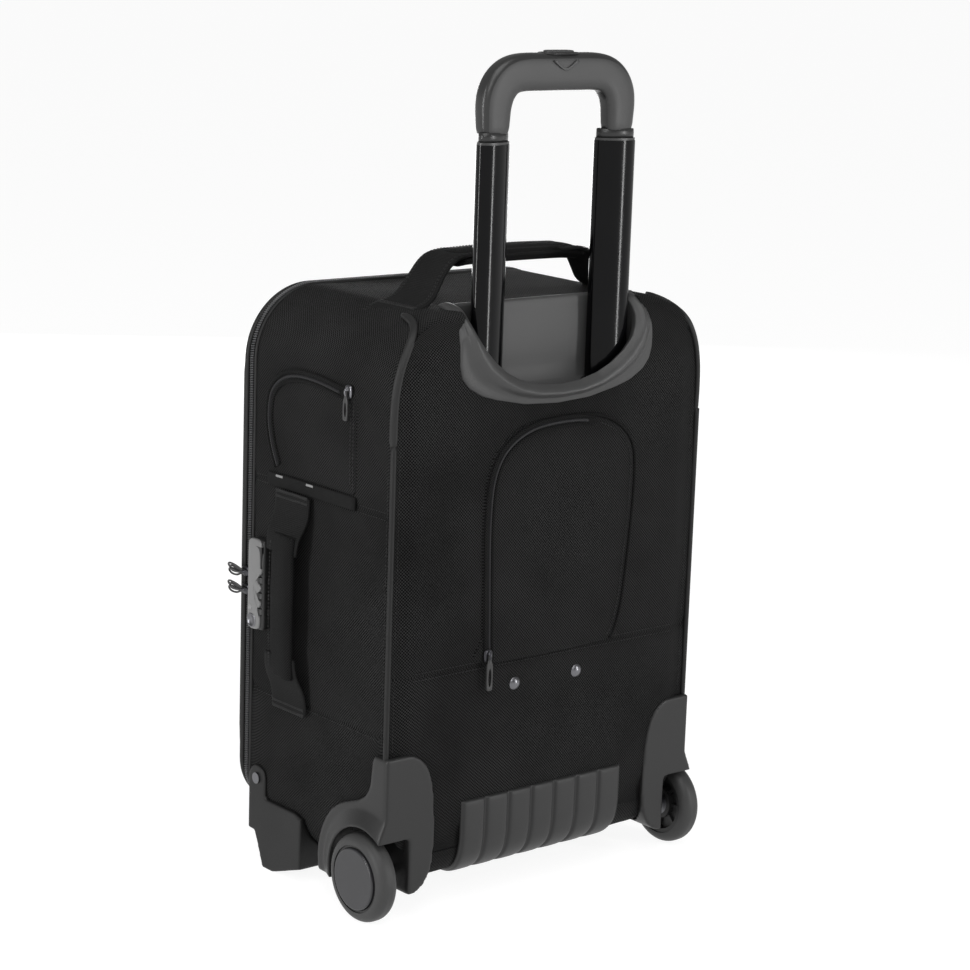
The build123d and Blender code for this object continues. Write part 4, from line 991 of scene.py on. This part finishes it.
def make_side_pocket():
    """The side pocket's cloth, zip and stitches."""
    patch("side_pocket_cloth", SIDE_POCKET, on_side, 1.0, "case_body", "side_pocket_panel")
    run = [(-60, 366), (-69, 384), (-74.5, 404), (-73, 423), (-66, 434.5), (-52, 443.5), (-33, 447.6),
           (-9, 447.8), (15, 445.3), (40, 441.5)]
    zip_run("side_pocket_zip_run", flat_curve(run), on_side, (1, 0, 0), "case_body", "side_pocket_zip")
    for shift in (0, 1):
        edge = [on_side(y, z, 2.0) for y, z in
                flat_curve([(46.5 - 4 * shift, 440), (46.6 - 4 * shift, 364 + 3 * shift)])]
        stitches(f"side_pocket_stitches_{shift}", edge, (1, 0, 0), "case_body")
    strip_path = [mm(169.6, y, 353) for y in range(-75, 51, 5)]
    strip = band("side_strip", strip_path, (1, 0, 0), 0.0115, 0.0018, WEBBING)
    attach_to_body(strip, "case_body")
    for start, end in ((-62, -52), (-18, -8)):
        path = [mm(171.8, y, 357) for y in range(start, end + 1, 2)]
        tack = row_of(f"side_strip_tack_{start + 70}", path, (1, 0, 0), THREAD_LIGHT, 0.0012,
                      (0.0008, 0.0022, 0.0007))
        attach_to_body(tack, "case_body")


def make_back_pocket():
    """The back pocket's cloth, zip and stitches."""
    patch("back_pocket_cloth", BACK_POCKET, back_surface, 1.0, "case_body", "back_pocket_panel", 0.7, flip=True)
    run = [(66.5, 216), (68.0, 240), (69.4, 290), (70.2, 337), (67.6, 369), (59, 390), (44, 403.5), (24, 411.5),
           (0, 414.2), (-26, 414.2), (-46, 411)]
    zip_run("back_pocket_zip_run", flat_curve(run), back_surface, (0, 1, 0), "case_body", "back_pocket_zip")
    inner = [(-50, 410), (-66, 402.5), (-79, 391), (-86, 377), (-86.5, 353), (-84.5, 316), (-81.5, 280),
             (-78, 247), (-72, 226), (-66, 217)]
    edge = [back_surface(x, z, 1.9) for x, z in flat_curve(inner)]
    stitches("back_pocket_stitches", edge, (0, 1, 0), "case_body")
    rim = [(-20, 420.6), (-49, 416.6), (-69, 408.6), (-84, 395.6), (-91.4, 380), (-92.6, 353), (-90.4, 316),
           (-87.4, 280), (-83.4, 245), (-77.4, 224), (-71.4, 214.5)]
    path = [back_surface(x, z, 1.0) for x, z in flat_curve(rim)]
    welt = sweep("back_pocket_rim_welt", path[::-1], round_section(0.0030, 0.0022, 10, 2.0, 0.0003), (0, 1, 0),
                 FABRIC_SOFT, scale=fading)
    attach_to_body(welt, "case_body")


def make_front_pocket():
    """The lid's flat pocket and its straight zip."""
    outline = [(-140, 80), (-148, 90), (-148, 240), (-148, 390), (-140, 400), (0, 401), (142, 400), (150, 390),
               (150, 240), (150, 90), (142, 80), (0, 79)]

    def place(x, z, lift=0.0):
        return mm(x, -119.6 - lift, z)

    patch("front_pocket_cloth", outline, place, 0.9, "lid", "front_pocket_panel")
    run = [(155.5, 120), (155.5, 240), (155.5, 380)]
    zip_run("front_pocket_zip_run", flat_curve(run), lambda a, b, lift: mm(a, -118.4 - lift, b), (0, -1, 0),
            "lid")


# ---- The handle's bezel ----------------------------------------------------------------------
# Points are (X, Z, Y) from the middle of the cup up to where its rim lies on the top of the case.
BEZEL_OUTER = [(0, 431, 102.3), (36, 433, 102.3), (68, 439.5, 102.3), (83, 444, 102.3), (97, 452, 102.3),
               (104, 460, 102.3), (106.8, 470, 102.3), (107, 480, 102.3), (106.6, 490, 101.5), (106, 498, 97.5),
               (105.3, 506, 91), (104.3, 512, 83), (103, 515, 74), (101, 515.5, 66)]
BEZEL_CREST = [(0, 441, 112), (24, 442.3, 112), (45, 447, 112), (63, 455.5, 112), (79, 467, 112),
               (89, 480, 111.5), (94, 491, 109.5), (97, 500, 105), (98.3, 508, 98), (98.4, 514, 90),
               (98, 517, 81), (97, 518, 72), (96, 518, 66)]
BEZEL_INNER = [(0, 448.6, 105), (22, 450, 105), (42, 455, 105), (58, 462.5, 105.5), (71, 472, 106),
               (80.5, 482, 105.5), (86.5, 492, 102), (89.5, 500, 98), (90.5, 507, 92), (90, 512, 86),
               (89, 515, 79), (88, 516.3, 72), (87, 516.5, 66)]
CUP_BACK = 75.8
CUP_FLOOR_Z = 441.5


def both_halves(points):
    return [mm(-x, y, z) for x, z, y in points[:0:-1]] + [mm(x, y, z) for x, z, y in points]


def make_bezel():
    """The moulded cup: a flange, a fat rolled lip, the inside walls and the front wall."""
    outer, crest, inner = [smooth_path_even(both_halves(points), 120)
                           for points in (BEZEL_OUTER, BEZEL_CREST, BEZEL_INNER)]
    rings = []
    for low, top, edge in zip(outer, crest, inner):
        over = clamped((0.104 - low.y) / 0.022)
        out = Vector((0, 1 - over, over)).normalized()
        rise = (top - low).dot(out)
        flat = top - out * rise
        row = [low - out * 0.004, low - out * 0.0005]
        for share, height in ((0.02, 1.0), (0.10, 1.7), (0.28, 2.2), (0.42, 2.6), (0.52, 3.3), (0.62, 4.8)):
            row.append(low.lerp(flat, share) + out * min(0.001 * height, rise))
        for share, part in ((0.72, 0.68), (0.84, 0.88), (0.93, 0.97)):
            row.append(low.lerp(flat, share) + out * max(0.0028 * share, rise * part))
        row.append(top)
        for share, puff in ((0.2, 0.7), (0.45, 0.9), (0.7, 0.5), (0.9, 0.1)):
            row.append(top.lerp(edge, share) + out * 0.001 * puff)
        row.append(edge)
        deep = min(edge.y, 0.001 * CUP_BACK)
        for share, drop in ((0.06, 1.5), (0.16, 3), (0.2, 8), (0.22, 60), (0.4, 80), (0.7, 80), (1.0, 80)):
            height = max(0.001 * CUP_FLOOR_Z, edge.z - 0.001 * drop)
            row.append(Vector((edge.x, edge.y + (deep - edge.y) * share, height)))
        rings.append(row)
    rim = grid("bezel_rim", rings, BEZEL)
    modify(rim, "SUBSURF", levels=1)
    box_uv(rim)
    rows = []
    for edge in inner:
        if edge.y < 0.001 * (CUP_BACK + 4):
            continue
        x, start = edge.x * 1000, CUP_FLOOR_Z + 10
        row = []
        for y, lift in ((92, -0.5), (87, 0.2), (82.5, 1.2), (79, 3.2), (76.8, 6)):
            row.append(mm(x, y, CUP_FLOOR_Z + lift))
        for share in spread(0.15, 1, 10, last=True):
            bulge = 1.2 * sin(pi * share) * cos(pi * x / 200)
            row.append(mm(x, CUP_BACK - 0.3 + bulge, start + (515.3 - start) * share))
        row += [mm(x, CUP_BACK - 1.2, 516.8), mm(x, CUP_BACK - 3.6, 517.6), mm(x, CUP_BACK - 7, 517.2),
                mm(x, CUP_BACK - 10, 515.4), mm(x, CUP_BACK - 10.5, 512)]
        rows.append(row)
    # The front wall gets the bezel plastic painted lighter: painted light on the lit wall.
    wall = grid("bezel_front_wall", rows, BEZEL_WALL_PAINTED_LIT)
    box_uv(wall)
    for obj in (rim, wall):
        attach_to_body(obj, "case_body")
    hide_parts("handle_bezel")
    for word, side in SIDES.items():
        ring = []
        for grow, z in ((3.5, 440), (3.5, 444), (2.5, 446), (0.8, 446.5), (0.7, 440)):
            ring.append([tube_point(side, 38 + 2 * grow, 20.4 + 2 * grow, a, z) for a in range(0, 360, 12)])
        boot = tube("tube_socket_" + word, ring, HUB, caps=False)
        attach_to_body(boot, "case_body")


def tube_point(side, width, depth, angle, z):
    """A point on an oval round a handle tube's line."""
    a, turn = radians(angle), radians(15 * side)
    x, y = width / 2 * cos(a), depth / 2 * sin(a)
    return mm(side * 67 + x * cos(turn) - y * sin(turn), 87.3 + x * sin(turn) + y * cos(turn), z)


# ---- Grip ------------------------------------------------------------------------------------
def make_grip():
    """The U-shaped grip: two-tone, with a parting line, finger swells and a raised button plate."""
    half = [(68.2, 656.5), (68.2, 668), (68, 680), (65.5, 690.5), (59.5, 699), (50.5, 704.6), (38, 706.8),
            (19, 707), (0, 707.1)]
    points = [Vector((x, 0, z)) for x, z in half] + [Vector((-x, 0, z)) for x, z in half[-2::-1]]
    path = [mm(p.x, 87.3, p.z) for p in smooth_path(points, 3.0)]
    rings = []
    for point, across, outward in frames_along(path, (0, 1, 0)):
        z = point.z * 1000
        wide = 28.4 + 4.0 * clamped((z - 660) / 26) - 1.2 * clamped((z - 697) / 9)
        deep = 18.6 + 2.0 * clamped((z - 665) / 30)
        if z < 660.5:
            wide, deep = wide - 1.4, deep - 1.4
        ring = [point + across * a * 0.001 + outward * b * 0.001
                for a, b in round_section(wide, deep, 40, 3.0)]
        rings.append(ring)
    grip = tube("grip_shell", rings, [GRIP, GRIP_SATIN], slots=lambda c: 1 if 0.04 < c < 0.34 else 0)
    modify(grip, "SUBSURF", levels=1)
    box_uv(grip)
    attach(grip, "handle_upper", "grip")
    for word, side in SIDES.items():
        rings = []
        for grow, z in ((-0.9, 650.5), (-0.6, 651), (0.6, 651), (0.8, 655), (0.5, 658.5), (-0.8, 659)):
            rings.append([tube_point(side, 33.4 + 2 * grow, 15.8 + 2 * grow, a, z) for a in range(0, 360, 10)])
        foot = tube("grip_foot_" + word, rings, GRIP)
        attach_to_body(foot, "handle_upper")
    plate = [(0.0, 19), (0.6, 20), (1.3, 19.5), (1.6, 18)]
    rings = []
    for lift, length in plate:
        rings.append([mm(length * x, 87.3 + (9.0 - 0.6 * lift) * y, 721.4 + lift)
                      for x, y in round_section(2, 2, 32, 3.2)])
    collar = tube("grip_plate", rings, GRIP)
    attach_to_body(collar, "handle_upper")
    rings = []
    for lift, size in ((0, 1.0), (1.6, 1.0), (2.3, 0.95), (2.5, 0.85)):
        rings.append([mm(14.6 * size * x, 87.3 + 5.3 * size * y, 722 + lift)
                      for x, y in round_section(2, 2, 32, 4)])
    button = tube("thumb_button", rings, GRIP_SATIN)
    attach(button, "grip_button", "grip_button")
    chevron = [mm(x, 98.1, z) for x, z in ((-13, 716.5), (0, 709.5), (13, 716.5))]
    mark = band("grip_chevron", smooth_path(chevron, 0.002), (0, 1, 0), 0.0022, 0.0008, GRIP_SATIN)
    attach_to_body(mark, "handle_upper")


# ---- Grab handles ----------------------------------------------------------------------------
def make_top_handle():
    """Webbing sewn to the top, lifting into a padded sleeve."""
    arch = [(63, 551.5), (74, 548.5), (83, 541), (91, 530), (98, 520.5), (106, 514.6), (116, 511.4),
            (126, 507.5), (135, 503)]
    y = 33.0
    for word, side in SIDES.items():
        points = [mm(side * x, y, z) for x, z in [(40, 551.5), (52, 551.8)] + arch]
        path = smooth_path(points, 0.004)

        def out(point, side=side):
            lean = clamped((abs(point.x) - 0.055) / 0.05)
            return Vector((side * lean * 0.9, 0, 1)).normalized()

        strap = band("top_webbing_" + word, path, out, 0.046, 0.0032, WEBBING,
                     scale=lambda t: (1 + 0.42 * max(0, (t - 0.45) / 0.55), 1))
        for index, inset in enumerate((0.0195, 0.0175)):
            for sign in (-1, 1):
                line = [p + Vector((0, sign * inset * (1 + 0.42 * max(0, (k / len(path) - 0.45) / 0.55)), 0))
                        for k, p in enumerate(path)]
                row = row_of(f"top_webbing_stitches_{word}_{index}_{sign + 1}", line, out, THREAD, 0.0034,
                             (0.0024, 0.0006, 0.0006), lift=0.0034)
                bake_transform(row)
        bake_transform(strap)
        if side > 0:
            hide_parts("top_handle_webbing")
        tack_path = [mm(side * 118, y + dy, 512.6) for dy in range(-24, 26, 2)]
        tack = row_of("top_tack_" + word, tack_path, (side * 0.3, 0, 1), THREAD, 0.0013,
                      (0.0008, 0.0075, 0.0008), lift=0.0012)
        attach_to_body(tack, "case_body")
    spine = smooth_path([mm(x, y, z) for x, z in ((-67, 548.2), (-50, 550.5), (0, 551.4), (50, 550.5),
                                                  (67, 548.2))], 0.004)
    sleeve = sweep("top_sleeve", spine, round_section(0.041, 0.0125, 20, 2.6), (0, 0, 1), FABRIC_SOFT)
    inflate(sleeve, pressure=3.0, cap=0.0022, voxel=0.003)
    attach(sleeve, "top_handle", "top_handle_sleeve")
    for sign in (-1, 1):
        seam = [p + mm(0, sign * 21.0, 0.5) for p in spine]
        edge = sweep(f"top_sleeve_seam_{sign + 1}", seam, round_section(0.0018, 0.0026, 8), (0, 0, 1),
                     FABRIC_SOFT)
        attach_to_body(edge, "top_handle")
        line = [p + mm(0, sign * 17.2, 5.2) for p in spine]
        row = row_of(f"top_sleeve_stitches_{sign + 1}", line, (0, sign * 0.3, 1), THREAD, 0.0034,
                     (0.0024, 0.0006, 0.0006))
        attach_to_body(row, "top_handle")


def make_side_handle():
    """The folded, padded grab handle on the side that carries the lock."""
    y = -35.0
    ends = {
        "upper": [(171.5, 345.5), (171.8, 338), (173, 328), (177, 318), (181, 309), (182.5, 296)],
        "lower": [(171.5, 155), (171.8, 163), (173.4, 173), (177.5, 183), (181.3, 193), (182.5, 206)],
    }
    for word, line in ends.items():
        path = smooth_path([mm(x, y, z) for x, z in line], 0.003)

        def out(point):
            lift = clamped((point.x - 0.1715) / 0.010)
            return Vector((1, 0, (0.9 if word == "upper" else -0.9) * sin(pi * lift) * 0.6)).normalized()

        strap = band("side_webbing_" + word, path, out, 0.050, 0.0030, WEBBING,
                     scale=lambda t: (1 - 0.14 * max(0, (t - 0.5) / 0.5), 1))
        low, high = (326, 310) if word == "upper" else (176, 192)
        mm(172, y, low)
        mm(181, y, high)
        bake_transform(strap)
        if word == "upper":
            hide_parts("side_handle_webbing")
        for step, z in enumerate((line[0][1], line[1][1] + (3 if word == "upper" else -3))):
            tack_path = [mm(174.4, y + dy, z) for dy in range(-23, 24, 2)]
            tack = row_of(f"side_tack_{word}_{step}", tack_path, (1, 0, 0), THREAD, 0.0013,
                          (0.0008, 0.0035, 0.0007))
            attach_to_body(tack, "case_body")
    spine = smooth_path([mm(x, y, z) for x, z in ((182.2, 186), (182.8, 210), (183.4, 250), (182.8, 290),
                                                  (182.0, 314))], 0.004)
    fold = [(-21, -3.6), (-20, 0.4), (-15, 2.6), (-6, 3.6), (6, 3.6), (15, 2.6), (20, 0.4), (21, -3.6),
            (17, -4.4), (14, -1.6), (6, -1.0), (-6, -1.0), (-14, -1.6), (-17, -4.4)]
    sleeve = sweep("side_sleeve", spine, [(a * 0.001, b * 0.001) for a, b in fold], (1, -0.2, 0), FABRIC_SOFT)
    inflate(sleeve, pressure=2.5, cap=0.0016, voxel=0.0026)
    attach(sleeve, "side_handle", "side_handle_sleeve")
    for sign in (-1, 1):
        line = [p + mm(3.9, sign * 12.5, 0) for p in spine[2:-2]]
        row = row_of(f"side_sleeve_stitches_{sign + 1}", line, (1, sign * 0.2, 0), THREAD, 0.0034,
                     (0.0024, 0.0006, 0.0006), lift=0.0003)
        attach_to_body(row, "side_handle")


# ---- Sliders and pulls -----------------------------------------------------------------------
def placed(origin, right, up, out):
    """A function that puts (right, up, out) millimetres at a place on the case."""
    right, up, out = Vector(right), Vector(up), Vector(out)
    base = mm(*origin)
    return lambda a, b, c: base + (right * a + up * b + out * c) * 0.001


def make_slider(name, at, node_name, material):
    """A die-cast slider: a waisted body with a bridge."""
    outline = [(-3.2, -5), (3.2, -5), (4.4, -2), (4.6, 1), (4.0, 4), (2.2, 5.4), (-2.2, 5.4), (-4.0, 4),
               (-4.6, 1), (-4.4, -2)]
    loop = smooth_path([Vector((a, b, 0)) for a, b in outline], 1.0, closed=True)
    rings = []
    for share, lift in ((0.9, 0.4), (1.0, 0.8), (1.0, 2.0), (0.93, 2.6), (0.7, 2.9), (0.3, 3.0)):
        rings.append([at(p.x * share, p.y * share, lift) for p in loop])
    attach(tube(name, rings, material), node_name, node_name)
    bridge = smooth_path([at(0, b, c) for b, c in ((-4, 2.6), (-3, 4.8), (0, 5.9), (3, 4.8), (4.2, 2.6))],
                         0.0008)
    arch = sweep(name + "_bridge", bridge, round_section(0.0022, 0.0012, 10), at(0, 0, 1) - at(0, 0, 0),
                 material)
    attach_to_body(arch, node_name)


def make_pull(name, at, node_name, length):
    """A flat pull with a rounded slot, hung from a slider's bridge."""
    half, lift = 3.1, 4.4
    outline = [(-1.3, 0.6), (1.3, 0.6), (1.5, -4), (half * 0.8, -6.5), (half, -9), (half, -length + 3),
               (half * 0.75, -length + 0.4), (0, -length), (-half * 0.75, -length + 0.4), (-half, -length + 3),
               (-half, -9), (-half * 0.8, -6.5), (-1.5, -4)]
    outer = smooth_path_even([Vector((a, b, 0)) for a, b in outline + outline[:1]], 60)[:-1]
    centre = Vector((0, -length * 0.62, 0))
    inner = []
    for point in outer:
        turn = atan2(point.y - centre.y, point.x - centre.x)
        inner.append(Vector((1.5 * cos(turn), centre.y + (length * 0.26) * sin(turn), 0)))
    rings = []
    for share, c in ((0.0, -0.7), (0.06, -0.9), (0.94, -0.9), (1.0, -0.7), (1.0, 0.7), (0.94, 0.9), (0.06, 0.9),
                     (0.0, 0.7)):
        rings.append([at(*(p.lerp(q, share)).xy, lift + c) for p, q in zip(outer, inner)])
    attach(tube(name, rings, PULL, closed=True), node_name, node_name)


def make_sliders():
    """A slider and a pull for each pocket, and the two docked ones of the main zip."""
    up = (0, 0, 1)
    for word, origin, right, out, length, material in (
            ("back", (69, 103.8, 221), (-1, 0, 0), (0, 1, 0), 30, DARK_STEEL),
            ("side", (170.8, 40, 446), (0, 1, 0), (1, 0, 0), 24, STEEL),
            ("front", (155.5, -118.3, 326), (1, 0, 0), (0, -1, 0), 28, DARK_STEEL)):
        at = placed(origin, right, up, out)
        make_slider(word + "_slider", at, word + "_pocket_slider", material)
        make_pull(word + "_pull", at, word + "_pocket_tab", length)
    for word, z in (("lower", 248), ("upper", 264)):
        at = placed((171, ZIP_Y, z), (0, 0, 1), (0, 1, 0), (1, 0, 0))
        make_slider("main_zip_" + word, at, "main_slider_" + word, DARK_STEEL)
        make_main_pull(word, z)


def make_main_pull(word, z):
    """A docked pull: a tongue to the lock and three cord loops that stand out at the front."""
    tongue = [mm(175.4, ZIP_Y + dy, z) for dy in range(0, 11, 2)]
    blade = band("main_tongue_" + word, tongue, (1, 0, 0), 0.0042, 0.0014, DARK_STEEL, lift=-0.0007)
    attach(blade, "main_tab_" + word, "main_tab_" + word)
    for number, (dz, dx) in enumerate(((0.0, 0.0), (2.6, 1.6), (-2.4, 0.8))):
        loop = [(175.4, -103.5, z), (177 + dx, -109, z + 1.5 + dz), (179 + dx, -116, z + 3.2 + dz),
                (177.5 + dx, -121, z + 1.0 + dz), (175.5 + dx, -120, z - 2.4 + dz),
                (175 + dx, -112, z - 2.2 + dz)]
        path = smooth_path([mm(*p) for p in loop], 0.0012, closed=True)
        cord = sweep(f"main_loop_{word}_{number}", path, round_section(0.0018, 0.0018, 8), (0, 0.2, 1), PULL,
                     closed=True)
        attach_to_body(cord, "main_tab_" + word)


# ---- Moulded parts ---------------------------------------------------------------------------
def make_skid():
    """The ribbed guard: seven raised bars from the back round under the case."""
    half, bars = 90.5, 7
    pitch = 2 * half / bars
    columns = [(-half - 0.3, -3.2), (-half, -1.6)]
    for bar in range(bars):
        start = bar * pitch - half
        for across, lift in ((0.0, -1.6 if bar else -0.6), (1.0, -1.5), (1.7, -0.5), (2.6, 0.3), (4.0, 0.7),
                             (pitch / 2, 0.9), (pitch - 4.0, 0.7), (pitch - 2.6, 0.3), (pitch - 1.7, -0.5),
                             (pitch - 1.0, -1.5)):
            columns.append((start + across, lift))
    columns += [(half, -1.6), (half + 0.3, -3.2)]
    line = [(101.0, 95.2, 0), (103.4, 95.0, 0.4), (104.6, 94.0, 0.8), (104.9, 92.0, 1), (104.9, 80, 1),
            (104.9, 68, 1), (104.6, 58, 1)]
    for angle in range(5, 86, 10):
        line.append((70 + 33.5 * cos(radians(angle)), 55 - 31.5 * sin(radians(angle)), 1))
    line += [(66, 23.4, 1), (60, 23.6, 0.8), (57, 25, 0.3), (56, 27, 0)]
    rows = []
    for k, (y, z, ribs) in enumerate(line):
        ahead = Vector((line[min(k + 1, len(line) - 1)][0] - line[max(0, k - 1)][0],
                        line[min(k + 1, len(line) - 1)][1] - line[max(0, k - 1)][1]))
        out = Vector((-ahead.y, ahead.x)).normalized()
        lean = 1.0 if z > 90 else 1.0 - 0.03 * max(0, (40 - z) / 17)
        rows.append([mm(x * lean, y + out.x * lift * ribs, z + out.y * lift * ribs) for x, lift in columns])
    skid = grid("skid_guard", rows, SKID)
    modify(skid, "SUBSURF", levels=1)
    box_uv(skid)
    attach(skid, "case_body", "skid_plate")


def make_moulded():
    """Mould-softened feet, lock case and wheel housings."""
    for node_name, name, material, voxel in (
            ("front_feet", "feet_moulded", FOOT, 0.0015),
            ("lock_body", "lock_case", LOCK, 0.0008),
            ("wheel_housing_left", "housing_left", HOUSING, 0.0016),
            ("wheel_housing_right", "housing_right", HOUSING, 0.0016)):
        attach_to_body(softened(node_name, name, material, voxel), "case_body")


def make_lock_face():
    """The lock's satin face plate, scalloped beside the dials, with a small red mark and the key's ring."""
    outline = [(-92.4, 222), (-92.6, 255), (-92.4, 290), (-90.5, 296.5), (-84, 298), (-76, 297.2), (-72.5, 292),
               (-71.6, 280), (-72.2, 270), (-74.8, 266.5), (-79.4, 262), (-74.8, 257.5), (-73.2, 255),
               (-74.8, 252.5), (-79.4, 248), (-74.8, 243.5), (-73.2, 241), (-74.8, 238.5), (-79.4, 234),
               (-75, 229.5), (-74.4, 224), (-76, 219), (-82, 216.8), (-89, 217.4)]
    path = smooth_path([Vector((a, b, 0)) for a, b in outline], 0.8, closed=True)
    centre = Vector((-84, 257, 0))
    rings = []
    for share, x in ((0.97, 174.0), (0.985, 177.0), (0.955, 178.0), (0.9, 178.35), (0.6, 178.5), (0.0, 178.5)):
        tall = share * 0.3 + 0.7 if share > 0.8 else share
        ring = []
        for p in path:
            flat = centre + Vector(((p.x - centre.x) * share, (p.y - centre.y) * tall, 0))
            ring.append(mm(x, flat.x, flat.y))
        rings.append(ring + ring[:1])
    face = welded(grid("lock_face", rings, LOCK_FACE))
    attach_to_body(face, "case_body")
    for name, material, (y, z), radius in (("lock_mark", RED, (-88.5, 236), 2.6),
                                           ("lock_core_ring", STEEL, (-86, 224.5), 6.4)):
        rings = []
        for share, x in ((1.0, 177.8), (1.0, 178.7), (0.92, 179.0), (0.8, 179.0), (0.78, 178.6), (0.0, 178.6)):
            rings.append([mm(x, y + radius * share * cos(turn), z + radius * share * sin(turn))
                          for turn in spread(0, 2 * pi, 24, last=True)])
        disc = welded(grid(name, rings, material))
        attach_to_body(disc, "case_body")


def make_inside():
    """The lining, the divider board's cover and the laptop sleeve, seen when the lid is open."""
    stations = [-97, -90, -75, -50, -25, 0, 25, 50, 66, 69]
    rows = []
    for y in stations:
        ring = []
        for x, z in full_outline(y, 3.6):
            point = mm(x, y, z)
            ring.append(point + outward_xz(point) * min(0, bumpy(point, 0.0012, 0.05, 9.0) - 0.0004))
        rows.append(ring + ring[:1])
    for share in spread(0.99, 0.0, 16, last=True):
        ring = []
        for x, z in full_outline(69, 3.6):
            point = mm(x * share, 69, 265 + (z - 265) * share)
            ring.append(point + Vector((0, bumpy(point, 0.001, 0.06, 4.0) - 0.0006, 0)))
        rows.append(ring + ring[:1])
    tub = welded(grid("lining_cloth", rows, LINER,
                      lambda c: not (abs(c.x) > 0.134 and c.y > 0.03 and c.z < 0.09)))
    attach(tub, "case_body", "lining")
    rows = [closed_ring(y, 3.6) for y in (-108.5, -110, -111.5, -113, -114.2, -115)]
    for share in spread(0.985, 0.0, 16, last=True):
        ring = []
        for x, z in full_outline(-115.2, 3.6):
            point = mm(x * share, -115.2, 265 + (z - 265) * share)
            ring.append(point + Vector((0, bumpy(point, 0.001, 0.06, 6.0), 0)))
        rows.append(ring + ring[:1])
    face = welded(grid("lid_lining", rows, LINER))
    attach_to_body(face, "lid")
    sleeve = softened("laptop_sleeve", "laptop_pad", LINER, 0.0022, rounds=10)
    for vertex in sleeve.data.vertices:
        vertex.co.y += bumpy(vertex.co, 0.0012, 0.04, 2.0)
    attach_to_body(sleeve, nodes["laptop_sleeve"]["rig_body"])


def paint(obj, material):
    obj.data.materials.clear()
    obj.data.materials.append(material)


for name, obj in nodes.items():
    paint(obj, LOOKS.get(name, PIPING))

make_gusset()
make_back_panel()
make_piping()
make_guards()
make_main_zip()
make_lid()
make_side_pocket()
make_back_pocket()
make_front_pocket()
make_bezel()
make_grip()
make_top_handle()
make_side_handle()
make_sliders()
make_skid()
make_moulded()
make_lock_face()
make_inside()
make_studio()
make_camera()
